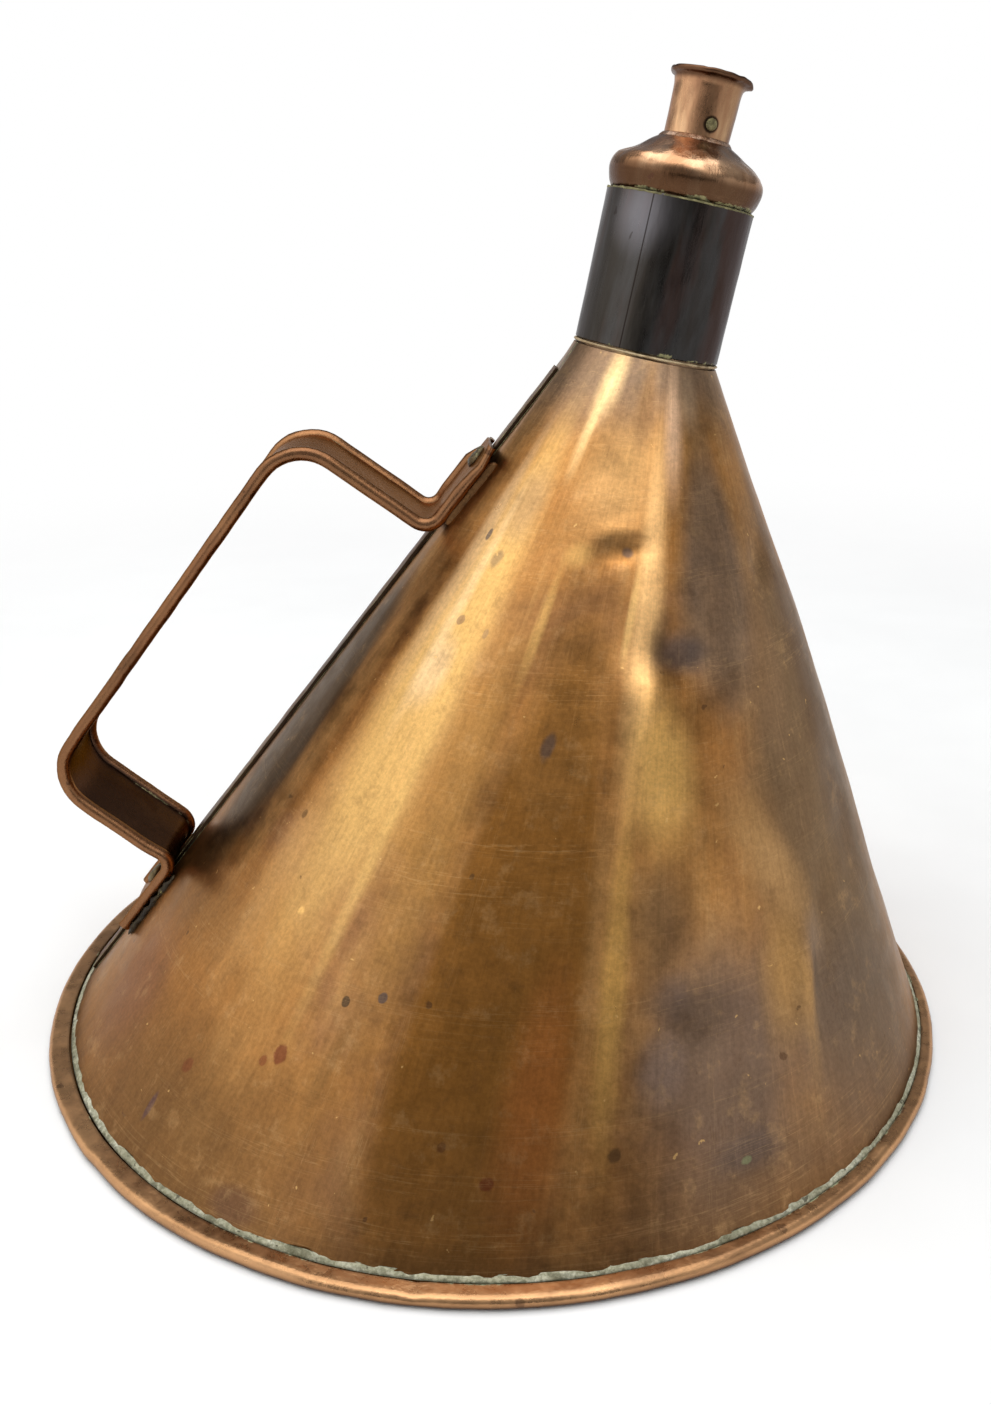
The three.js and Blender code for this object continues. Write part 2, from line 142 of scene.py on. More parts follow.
# %% Read and move the corners of a piece
def corners(piece):
    flat = np.empty(len(piece.data.vertices) * 3)
    piece.data.vertices.foreach_get("co", flat)
    return flat.reshape(-1, 3) / MM


def move_corners(piece, places):
    piece.data.vertices.foreach_set("co", (places * MM).ravel())
    piece.data.update()


def lumps(places, size, seed):
    """Smooth noise between about -1 and 1 at each place, with lumps of a size in millimetres."""
    shift = Vector((seed * 7.31, seed * 3.17, seed * 5.77))
    return np.array([noise.noise(Vector(place / size) + shift) for place in places]) * 2


def lay(piece, place):
    """Carry a finished mesh into a frame given in millimetres, and leave its object at the origin."""
    take(piece)
    matrix = place.copy()
    matrix.translation = place.translation * MM
    piece.matrix_world = matrix @ piece.matrix_world
    bpy.ops.object.transform_apply(location=True, rotation=True, scale=True)


# %% [markdown]
# ## Turning ring by ring
# Round pieces start as a circle. The circle is extruded up, and each new ring is scaled to its radius, as a
# spinner works a blank over a former. A closed section ends where it began, and the doubled ring is merged.

# %% Extrude a circle through the points of a section
def turn_rings(name, section, facets, filled=False):
    rest()
    radius, height = section[0]
    bpy.ops.mesh.primitive_circle_add(
        vertices=facets,
        radius=radius * MM,
        fill_type="NGON" if filled else "NOTHING",
        location=(0, 0, height * MM),
    )
    piece = named(name)
    bpy.ops.object.transform_apply(location=True)
    bpy.ops.object.mode_set(mode="EDIT")
    bpy.ops.mesh.select_all(action="SELECT")
    for (before, low), (after, high) in zip(section, section[1:]):
        bpy.ops.mesh.extrude_region_move(TRANSFORM_OT_translate={"value": (0, 0, (high - low) * MM)})
        if abs(after - before) > 1e-6:
            grow = after / before
            bpy.ops.transform.resize(value=(grow, grow, 1), center_override=(0, 0, high * MM))
    bpy.ops.mesh.select_all(action="SELECT")
    bpy.ops.mesh.remove_doubles(threshold=0.002 * MM)
    bpy.ops.mesh.normals_make_consistent(inside=False)
    rest()
    return piece


# %% Soft curve through points
def smoothed(points, steps):
    """More points on a soft curve through the given ones."""
    points = np.array(points, float)
    padded = np.vstack([2 * points[0] - points[1], points, 2 * points[-1] - points[-2]])
    made = []
    for before, start, end, after in zip(padded, padded[1:], padded[2:], padded[3:]):
        for share in np.arange(steps) / steps:
            made.append(
                0.5
                * (
                    2 * start
                    + (end - before) * share
                    + (2 * before - 5 * start + 4 * end - after) * share**2
                    + (3 * start - before - 3 * end + after) * share**3
                )
            )
    made.append(points[-1])
    return [tuple(point) for point in made]


# %% [markdown]
# ## Finishing a piece
# Every finished piece gets smooth shading up to an angle, its material and the body that carries it. Where
# it stands for a piece of the model, that piece is hidden. A layout is kept as a UV map: the angle round the
# piece and the height on it, which patterns on worn sheet follow.

# %% Finish and layout
def finish(piece, material, body, stands_for=(), angle=35):
    """Shade a finished piece, give it its material, hang it on the body that carries it, and hide the pieces
    it stands for.
    """
    take(piece)
    bpy.ops.object.shade_smooth_by_angle(angle=math.radians(angle))
    piece.data.materials.clear()
    piece.data.materials.append(material)
    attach(piece, body)
    if stands_for:
        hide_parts(*stands_for)
    rest()
    print("made", piece.name, "with", len(piece.data.polygons), "faces")


def lay_out(piece, angles, heights):
    """Keep an angle in degrees and a height in millimetres at each corner as a UV map."""
    mesh = piece.data
    layer = mesh.uv_layers.new(name="layout")
    loops = np.empty(len(mesh.loops), int)
    mesh.loops.foreach_get("vertex_index", loops)
    starts = np.empty(len(mesh.polygons), int)
    totals = np.empty(len(mesh.polygons), int)
    mesh.polygons.foreach_get("loop_start", starts)
    mesh.polygons.foreach_get("loop_total", totals)
    around = angles[loops]
    face = np.repeat(np.arange(len(totals)), totals)
    highest = np.full(len(totals), -1e9)
    np.maximum.at(highest, face, around)
    around = np.where(highest[face] - around > 180, around + 360, around)
    uv = np.stack([around / 360, heights[loops] / 200], axis=1)
    layer.data.foreach_set("uv", uv.ravel())


def angle_from_front(places):
    """Degrees from the front, growing towards +X, about the upright axis."""
    return np.degrees(np.arctan2(places[:, 0], -places[:, 1]))


def from_axis(places):
    """Distance from the upright axis."""
    return np.hypot(places[:, 0], places[:, 1])


# %% [markdown]
# ## Camera
# The portrait is taken from close by, at about the height of the neck, and looks down about 20 degrees. The
# place is given in metres, and the lens in millimetres on a 36 mm frame whose long side is the height of the
# picture.

# %% Camera
PICTURE_HEIGHT = 1405
FOCAL_LENGTH_IN_PIXELS = 1240
FRAME_SIDE = 36
CAMERA_PLACE = (0.0019, -0.2756, 0.1779)
PITCH_DOWN = math.radians(20.51)
ROLL = math.radians(0.63)

camera = bpy.data.objects.new("portrait_camera", bpy.data.cameras.new("portrait_camera"))
bpy.context.scene.collection.objects.link(camera)
camera.data.sensor_width = FRAME_SIDE
camera.data.lens = FRAME_SIDE * FOCAL_LENGTH_IN_PIXELS / PICTURE_HEIGHT
camera.data.clip_start = 0.01
level = Vector((1, 0, 0))
ahead = Vector((0, math.cos(PITCH_DOWN), -math.sin(PITCH_DOWN)))
upward = Vector((0, math.sin(PITCH_DOWN), math.cos(PITCH_DOWN)))
across = math.cos(ROLL) * level - math.sin(ROLL) * upward
top = math.sin(ROLL) * level + math.cos(ROLL) * upward
turn = Matrix((across, top, -ahead)).transposed()
camera.matrix_world = Matrix.Translation(CAMERA_PLACE) @ turn.to_4x4()
bpy.context.scene.camera = camera
print("camera lens", round(camera.data.lens, 2), "mm")

# %% [markdown]
# ## Colours
# Colours are noted as they look on a screen, from 0 to 255, and turned into the linear values that Blender
# works with.

# %% Colour helper
def colour(red, green, blue):
    def linear(value):
        value /= 255
        return value / 12.92 if value <= 0.04045 else ((value + 0.055) / 1.055) ** 2.4

    return (linear(red), linear(green), linear(blue), 1.0)


# %% [markdown]
# ## Placing nodes
# Materials are node trees. These helpers place a node, plug a value or a link into a socket, and make the few
# nodes that come up in every finish: sums and products, mixed colours, ranges and noise.

# %% Place a node and fill its sockets
def plug(tree, socket, value):
    if isinstance(value, bpy.types.NodeSocket):
        tree.links.new(value, socket)
    else:
        socket.default_value = value


def put(tree, kind, options=None, **sockets):
    made = tree.nodes.new("ShaderNode" + kind)
    for option, value in (options or {}).items():
        setattr(made, option, value)
    for title, value in sockets.items():
        plug(tree, made.inputs[title.replace("_", " ")], value)
    return made


# %% Nodes that calculate
def count(tree, operation, first, second=0.0, clamp=False):
    made = tree.nodes.new("ShaderNodeMath")
    made.operation = operation
    made.use_clamp = clamp
    plug(tree, made.inputs[0], first)
    plug(tree, made.inputs[1], second)
    return made.outputs[0]


def times(tree, first, second, clamp=False):
    return count(tree, "MULTIPLY", first, second, clamp)


def plus(tree, first, second, clamp=False):
    return count(tree, "ADD", first, second, clamp)


def minus(tree, first, second):
    return count(tree, "SUBTRACT", first, second)


def magnitude(tree, value):
    return count(tree, "ABSOLUTE", value)


def vectors(tree, operation, first, second=(0, 0, 0)):
    made = tree.nodes.new("ShaderNodeVectorMath")
    made.operation = operation
    plug(tree, made.inputs[0], first)
    plug(tree, made.inputs[1], second)
    return made.outputs[1 if operation == "LENGTH" else 0]


def axes_of(tree, vector):
    return put(tree, "SeparateXYZ", Vector=vector).outputs


def length_from(tree, place, point):
    """Distance of each place from a point."""
    return vectors(tree, "LENGTH", vectors(tree, "SUBTRACT", place, point))


# %% Nodes that mix colours and make noise
def mixed(tree, share, first, second, mode="MIX"):
    made = tree.nodes.new("ShaderNodeMix")
    made.data_type = "RGBA"
    made.blend_type = mode
    plug(tree, made.inputs[0], share)
    plug(tree, made.inputs[6], first)
    plug(tree, made.inputs[7], second)
    return made.outputs[2]


def grey_of(tree, value):
    return put(tree, "CombineColor", Red=value, Green=value, Blue=value).outputs[0]


def shaded(tree, tint, value):
    """A colour made lighter or darker by a value that changes over the surface."""
    return mixed(tree, 1.0, tint, grey_of(tree, value), "MULTIPLY")


def overlaid(tree, tint, mask, weight, stain):
    """A colour with a stain laid over it where the mask is, at some weight."""
    return mixed(tree, times(tree, mask, weight), tint, stain)


def between(tree, value, low, high, start=0.0, end=1.0, smooth=True):
    made = tree.nodes.new("ShaderNodeMapRange")
    made.interpolation_type = "SMOOTHSTEP" if smooth else "LINEAR"
    for title, number in (
        ("Value", value),
        ("From Min", low),
        ("From Max", high),
        ("To Min", start),
        ("To Max", end),
    ):
        plug(tree, made.inputs[title], number)
    return made.outputs[0]


def grain(tree, place, scale, detail=4.0, roughness=0.6, distortion=0.0):
    made = put(
        tree, "TexNoise",
        Vector=place, Scale=scale, Detail=detail, Roughness=roughness, Distortion=distortion,
    )
    return made.outputs["Fac"]


# %% [markdown]
# ## Groups
# An effect that several finishes share is a node group: a small tree with named inputs and outputs. It is
# built once and placed in each material with its own values.

# %% Groups with named sockets
KINDS = {"number": "NodeSocketFloat", "colour": "NodeSocketColor", "vector": "NodeSocketVector"}


def new_group(name, inputs, outputs):
    print("group:", name)
    group = bpy.data.node_groups.new(name, "ShaderNodeTree")
    for title, kind, value in inputs:
        socket = group.interface.new_socket(name=title, in_out="INPUT", socket_type=KINDS[kind])
        if value is not None:
            socket.default_value = value
    for title, kind in outputs:
        group.interface.new_socket(name=title, in_out="OUTPUT", socket_type=KINDS[kind])
    entry = group.nodes.new("NodeGroupInput").outputs
    leave = group.nodes.new("NodeGroupOutput").inputs
    return group, entry, leave


def use(tree, group, **sockets):
    made = tree.nodes.new("ShaderNodeGroup")
    made.node_tree = group
    for title, value in sockets.items():
        plug(tree, made.inputs[title.replace("_", " ")], value)
    return made.outputs


# %% [markdown]
# ## Effects that several finishes share
# Old copper is never one colour. Handling and polish leave it golden, the air turns it brown, and heat and
# damp leave mauve and grey stains. The first group mixes three such colours by noise at two scales.

# %% Patina group
patina, entry, leave = new_group(
    "patina",
    [
        ("Place", "vector", None),
        ("Coarse", "number", 14.0),
        ("Fine", "number", 90.0),
        ("Ground", "colour", colour(150, 100, 52)),
        ("Worn", "colour", colour(190, 145, 92)),
        ("Stained", "colour", colour(140, 104, 82)),
        ("Contrast", "number", 1.0),
    ],
    [("Color", "colour"), ("Cloud", "number")],
)
wide = grain(patina, entry["Place"], entry["Coarse"], 6, 0.62, 0.4)
shifted = vectors(patina, "ADD", entry["Place"], (0.31, 0.17, 0.53))
other = grain(patina, shifted, entry["Coarse"], 5, 0.6, 0.8)
small = grain(patina, entry["Place"], entry["Fine"], 5, 0.65)
worn = times(patina, between(patina, wide, 0.42, 0.66), entry["Contrast"], clamp=True)
stained = times(patina, between(patina, other, 0.5, 0.68), entry["Contrast"], clamp=True)
tone = mixed(patina, worn, entry["Ground"], entry["Worn"])
tone = mixed(patina, times(patina, stained, 0.75), tone, entry["Stained"])
shade = between(patina, small, 0.3, 0.7, 0.86, 1.12, smooth=False)
plug(patina, leave["Color"], shaded(patina, tone, shade))
plug(patina, leave["Cloud"], small)

# %% [markdown]
# Fine scratches are noise drawn out along one direction and cut off high, so that only thin lines are left.
# Spots are cells of a Voronoi pattern of which only some get a spot.

# %% Scratch group and spot group
scratches, entry, leave = new_group(
    "fine scratches",
    [("Place", "vector", None), ("Scale", "number", 60.0), ("Share", "number", 0.3)],
    [("Mask", "number")],
)
thin = grain(scratches, entry["Place"], entry["Scale"], 3, 0.55)
line = magnitude(scratches, minus(scratches, thin, 0.5))
ridge = between(scratches, line, 0.0, 0.018, 1.0, 0.0)
patch = grain(scratches, entry["Place"], times(scratches, entry["Scale"], 0.23), 2, 0.5)
cut = minus(scratches, 1.0, entry["Share"])
plug(scratches, leave["Mask"], times(scratches, ridge, between(scratches, patch, cut, 1.0)))

spots, entry, leave = new_group(
    "spots",
    [("Place", "vector", None), ("Scale", "number", 60.0), ("Share", "number", 0.2), ("Size", "number", 0.3)],
    [("Mask", "number")],
)
wobble = put(spots, "TexNoise", Vector=entry["Place"], Scale=entry["Scale"], Detail=3.0)
wobble = wobble.outputs["Color"]
soft = vectors(spots, "MULTIPLY", vectors(spots, "SUBTRACT", wobble, (0.5, 0.5, 0.5)), (0.004, 0.004, 0.004))
bent = vectors(spots, "ADD", entry["Place"], soft)
cell = put(spots, "TexVoronoi", Vector=bent, Scale=entry["Scale"])
chance = put(spots, "SeparateColor", Color=cell.outputs["Color"]).outputs
kept = count(spots, "LESS_THAN", chance["Red"], entry["Share"])
size = times(spots, entry["Size"], plus(spots, chance["Green"], 0.25))
edge = minus(spots, size, cell.outputs["Distance"])
plug(spots, leave["Mask"], times(spots, kept, between(spots, edge, 0.0, 0.06)))

# %% [markdown]
# A zone is a soft patch at a known angle and height on a piece, with a ragged edge. It puts a stain or a
# polished place where the real still has one, and on the cone also painted reflections and painted shade.
# The layout comes in as degrees and millimetres.

# %% Zone group
zone, entry, leave = new_group(
    "zone",
    [
        ("Layout", "vector", None),
        ("Place", "vector", None),
        ("Angle", "number", 0.0),
        ("Height", "number", 0.0),
        ("Half angle", "number", 10.0),
        ("Half height", "number", 10.0),
        ("Lean", "number", 0.0),
        ("Softness", "number", 0.6),
        ("Ragged", "number", 0.35),
        ("Grain", "number", 70.0),
    ],
    [("Mask", "number")],
)
parts = axes_of(zone, entry["Layout"])
rise = minus(zone, parts["Y"], entry["Height"])
swing = minus(zone, minus(zone, parts["X"], entry["Angle"]), times(zone, rise, entry["Lean"]))
wide = count(zone, "DIVIDE", swing, entry["Half angle"])
tall = count(zone, "DIVIDE", rise, entry["Half height"])
reach = count(zone, "SQRT", plus(zone, times(zone, wide, wide), times(zone, tall, tall)))
rough = minus(zone, grain(zone, entry["Place"], entry["Grain"], 4, 0.6), 0.5)
reach = plus(zone, reach, times(zone, rough, entry["Ragged"]))
inner = minus(zone, 1.0, entry["Softness"])
plug(zone, leave["Mask"], between(zone, reach, inner, 1.0, 1.0, 0.0))

# %% [markdown]
# Verdigris and old solder flux collect in corners as a pale crust. The group takes a mask of where it may lie
# and breaks it up into crumbs, and gives a colour and a height for the bump.

# %% Verdigris group
verdigris, entry, leave = new_group(
    "verdigris",
    [
        ("Place", "vector", None),
        ("Where", "number", 0.0),
        ("Scale", "number", 500.0),
        ("Pale", "colour", colour(176, 178, 140)),
        ("Deep", "colour", colour(74, 78, 54)),
    ],
    [("Color", "colour"), ("Mask", "number"), ("Height", "number")],
)
crumb = grain(verdigris, entry["Place"], entry["Scale"], 6, 0.7)
large = grain(verdigris, entry["Place"], times(verdigris, entry["Scale"], 0.2), 4, 0.6)
both = times(verdigris, plus(verdigris, crumb, large), 0.5)
limit = between(verdigris, entry["Where"], 0.0, 1.0, 0.72, 0.3, smooth=False)
stretches = grain(verdigris, entry["Place"], times(verdigris, entry["Scale"], 0.06), 3)
limit = plus(verdigris, limit, between(verdigris, stretches, 0.42, 0.6, 0.13, -0.03))
over = minus(verdigris, both, limit)
plug(verdigris, leave["Mask"], between(verdigris, over, 0.0, 0.05))
pale_share = between(verdigris, crumb, 0.4, 0.62)
plug(verdigris, leave["Color"], mixed(verdigris, pale_share, entry["Deep"], entry["Pale"]))
plug(verdigris, leave["Height"], both)

# %% [markdown]
# ## Assembling a metal
# A worn metal takes a base colour, a roughness and a height for the bump. Where a crust covers it, it is no
# longer metallic.

# %% Start a material and find a place on a piece
def new_material(name):
    print("finish:", name)
    material = bpy.data.materials.new(name)
    material.use_nodes = True
    tree = material.node_tree
    tree.nodes.clear()
    return material, tree


def stood(tree, place=None):
    """Object coordinates in metres, carried back into a frame that is given in millimetres."""
    here = put(tree, "TexCoord").outputs["Object"]
    if place is None:
        return here
    return put(
        tree, "Mapping", {"vector_type": "TEXTURE"},
        Vector=here, Location=place.translation * MM, Rotation=place.to_euler(),
    ).outputs[0]


def layout(tree):
    """The layout of the piece in degrees and millimetres."""
    uv = put(tree, "UVMap", {"uv_map": "layout"}).outputs[0]
    return vectors(tree, "MULTIPLY", uv, (360, 200, 1))


# %% Surface of a worn metal
BUMP_DEPTH = 0.6 * MM


def send_out(tree, shader, kind="Material"):
    output = tree.nodes.new("ShaderNodeOutput" + kind)
    tree.links.new(shader.outputs[0], output.inputs["Surface"])


def either(tree, share, first, second):
    """The first shader, and the second in its place where the share is 1."""
    both = tree.nodes.new("ShaderNodeMixShader")
    plug(tree, both.inputs[0], share)
    tree.links.new(first.outputs[0], both.inputs[1])
    tree.links.new(second.outputs[0], both.inputs[2])
    return both


def metal_surface(tree, tint, roughness, height, strength, metallic, edge=(0.74, 0.73, 0.74, 1)):
    """A metal with a bump, and the tint that it takes where it is seen edge on."""
    shader = put(tree, "BsdfPrincipled", Base_Color=tint, Metallic=metallic, Roughness=roughness)
    shader.inputs["Specular Tint"].default_value = edge
    bump = put(tree, "Bump", Height=height, Strength=strength, Distance=BUMP_DEPTH)
    tree.links.new(bump.outputs[0], shader.inputs["Normal"])
    send_out(tree, shader)


def dullness(tree, base, crust, low, high, more=0.4):
    """Roughness that follows the patina from low to high, and grows where a crust lies."""
    dull = between(tree, base["Cloud"], 0.3, 0.7, low, high)
    return plus(tree, dull, times(tree, crust["Mask"], more), clamp=True)


def crusted_metal(tree, tint, roughness, height, strength, crust, **options):
    """A metal surface that isn't metallic where a crust lies."""
    metal_surface(tree, tint, roughness, height, strength, minus(tree, 1.0, crust["Mask"]), **options)


# %% [markdown]
# ## Finish of the cone
# The cone carries most of the picture. Its patina streaks run from the neck to the foot, fine polishing
# scratches go round it, and single stains and pits sit where years of use left them. Its golden and dark
# bands on the front are painted reflections of the room over the patina, and its dents get painted shade.
# Each stain, band, painted reflection and painted shade is a zone with its own place, colour and weight, and
# a later zone lies over the earlier ones.

# %% Bands and painted reflections on the front of the cone
GOLD = (220, 176, 108)
PALE_GOLD = (240, 208, 168)
BROWN = (148, 98, 44)
DARK_BROWN = (102, 74, 48)
MAUVE = (112, 91, 68)
GREY_MAUVE = (58, 47, 37)
SLATE = (76, 74, 78)

# Angle, height, half angle, half height, lean, softness, raggedness, colour and weight
FRONT_BANDS_AND_REFLECTIONS = [
    # Golden bands on the left of the front: painted reflections of the bright left of the room
    (-40, 96, 15, 66, 0.0, 0.65, 0.25, GOLD, 0.85),
    (-24, 72, 8, 54, 0.0, 0.8, 0.3, (176, 130, 72), 0.6),
    (-49, 118, 5, 34, 0.0, 0.8, 0.3, (226, 188, 142), 0.5),
    (-40, 96, 6, 9, 0.0, 0.8, 0.4, PALE_GOLD, 0.45),
    (-38, 127, 11, 10, 0.0, 0.8, 0.4, (172, 136, 96), 0.7),
    (-5, 134, 26, 18, 0.0, 0.8, 0.3, (206, 160, 104), 0.6),
    (-43, 108, 3.4, 30, 0.0, 0.9, 0.2, (250, 214, 164), 0.5),
    (-33, 62, 2.0, 40, 0.0, 0.9, 0.2, (236, 192, 118), 0.35),
    (-50, 58, 6, 34, 0.0, 0.9, 0.3, (212, 164, 104), 0.5),
    # Narrow bands down the middle: painted reflections
    (10, 110, 6.5, 44, 0.02, 0.8, 0.2, (238, 188, 126), 0.85),
    (15, 82, 10, 19, -0.15, 0.8, 0.35, (228, 178, 102), 0.85),
    (-13, 119, 7, 3.5, 0.0, 0.8, 0.3, (224, 176, 104), 0.5),
    (-17.5, 106, 2.2, 14, 0.05, 0.8, 0.2, (226, 178, 104), 0.5),
    # Brown front with its reddish patch: patina and a painted reflection of the dark room, with a painted
    # golden edge
    (-6.2, 44, 12.3, 64, 0.01, 0.2, 0.08, BROWN, 0.92),
    (-5.5, 91, 11.0, 20, 0.0, 0.3, 0.08, (172, 120, 64), 0.5),
    (-6, 24, 14, 40, 0.0, 0.6, 0.2, (146, 98, 44), 0.25),
    (1, 28, 6, 30, 0.0, 0.8, 0.3, (184, 110, 56), 0.6),
    (9.2, 47, 2.9, 38, 0.0, 0.85, 0.3, (212, 162, 88), 0.8),
    (5.5, 108, 1.8, 11, 0.1, 0.8, 0.2, (238, 192, 122), 0.6),
    # Dull right side, with painted highlights along its creases and its far edge
    (56, 66, 32, 84, 0.0, 0.6, 0.25, MAUVE, 0.9),
    (67, 90, 13, 66, 0.0, 0.7, 0.3, (94, 70, 50), 0.8),
    (52, 22, 26, 32, 0.0, 0.7, 0.3, (104, 90, 80), 0.6),
    (88, 64, 18, 80, 0.0, 0.9, 0.4, (134, 104, 74), 0.6),
    (32, 114, 16, 32, 0.0, 0.55, 0.25, (138, 118, 100), 0.7),
    (25, 30, 17, 34, 0.0, 0.7, 0.4, (114, 96, 84), 0.85),
    (28, 7, 24, 14, 0.0, 0.8, 0.4, (104, 84, 66), 0.55),
    (37, 62, 8, 22, -0.5, 0.8, 0.3, (184, 142, 92), 0.6),
    (41, 36, 2.6, 19, 0.05, 0.9, 0.4, (206, 158, 96), 0.35),
    (37.5, 41, 6.5, 18, 0.1, 0.9, 0.3, (196, 148, 84), 0.5),
    # Under the neck: a greyish band with painted highlights
    (0, 153, 400, 16, 0.0, 0.9, 0.5, (128, 112, 98), 0.72),
    (56, 146, 22, 16, 0.0, 0.8, 0.3, (104, 86, 70), 0.6),
    (0, 146, 8, 12, 0.0, 0.8, 0.3, (146, 108, 72), 0.8),
    (17, 143, 7.5, 21, 0.0, 0.95, 0.2, (246, 202, 164), 0.75),
    (27, 147, 10, 9, 0.0, 0.9, 0.3, (206, 172, 138), 0.6),
    (-24, 151, 11, 11, 0.0, 0.95, 0.2, (246, 208, 148), 0.7),
    (-26, 142, 4, 13, 0.0, 0.9, 0.2, (246, 208, 148), 0.5),
    (-76, 134, 10, 20, 0.0, 0.7, 0.3, (196, 152, 112), 0.5),
    # Shaded handle side
    (-74, 80, 14, 42, 0.0, 0.5, 0.2, GREY_MAUVE, 0.9),
    (-61, 86, 5, 46, 0.0, 0.7, 0.3, (200, 148, 90), 0.8),
    (-70, 42, 16, 13, 0.2, 0.8, 0.3, DARK_BROWN, 0.45),
    (-56, 16, 26, 24, 0.0, 0.8, 0.3, (122, 86, 56), 0.4),
    (-67, 22, 13, 18, 0.0, 0.8, 0.3, (142, 94, 66), 0.7),
    # Softer patches in between
    (-20, 90, 4, 24, 0.0, 0.9, 0.3, (152, 108, 58), 0.5),
    (-56, 42, 8, 14, 0.0, 0.9, 0.3, (150, 108, 64), 0.5),
    (46, 96, 9, 26, 0.0, 0.9, 0.3, (142, 110, 80), 0.5),
    (45, 44, 5, 8, 0.0, 0.9, 0.3, (152, 126, 104), 0.5),
    (28, 22, 8, 10, 0.0, 0.9, 0.3, (98, 80, 66), 0.4),
    (-25.8, 31, 1.4, 13, 0.1, 0.7, 0.3, (138, 98, 56), 0.6),
]
print("bands on the front:", len(FRONT_BANDS_AND_REFLECTIONS))

# %% [markdown]
# The back wasn't seen, so its bands and stains are guessed: they are of the same kinds as those of the front,
# at other places and sizes.

# %% Bands and stains on the back
BACK_ZONES = [
    (104, 70, 14, 80, 0.0, 0.9, 0.4, (182, 134, 82), 0.55),
    (126, 60, 13, 74, 0.04, 0.8, 0.4, (208, 162, 100), 0.6),
    (149, 46, 14, 60, 0.0, 0.8, 0.4, (122, 92, 66), 0.65),
    (166, 100, 11, 50, 0.0, 0.9, 0.4, (196, 148, 90), 0.5),
    (-166, 40, 12, 46, 0.0, 0.9, 0.4, (118, 90, 72), 0.55),
    (-148, 84, 13, 62, 0.0, 0.8, 0.4, (208, 162, 100), 0.55),
    (-126, 46, 12, 46, 0.05, 0.8, 0.4, (120, 92, 72), 0.6),
    (-108, 96, 9, 56, 0.0, 0.8, 0.3, (190, 142, 86), 0.5),
    (112, 24, 15, 15, 0.0, 0.8, 0.5, (110, 88, 78), 0.55),
    (-150, 14, 22, 12, 0.0, 0.8, 0.5, (104, 80, 64), 0.5),
    (118, 88, 3.0, 3.6, 0.2, 0.7, 0.6, SLATE, 0.55),
    (142, 34, 1.0, 1.5, 0.0, 0.3, 0.9, (118, 58, 42), 0.7),
    (133, 62, 0.8, 1.0, 0.0, 0.4, 0.8, DARK_BROWN, 0.7),
    (160, 74, 0.9, 1.2, 0.0, 0.4, 0.8, (84, 54, 40), 0.7),
    (-140, 60, 1.0, 1.5, 0.0, 0.4, 0.8, DARK_BROWN, 0.7),
    (-118, 112, 1.7, 1.5, 0.0, 0.4, 0.6, SLATE, 0.6),
    (-162, 104, 1.3, 1.8, 0.0, 0.4, 0.8, (118, 62, 44), 0.6),
    (-131, 24, 1.1, 1.4, 0.0, 0.3, 0.9, (112, 56, 40), 0.7),
]
print("bands and stains on the back:", len(BACK_ZONES))

# %% [markdown]
# Last come the darker foot, the painted shade in and under the dents, and the single spots.

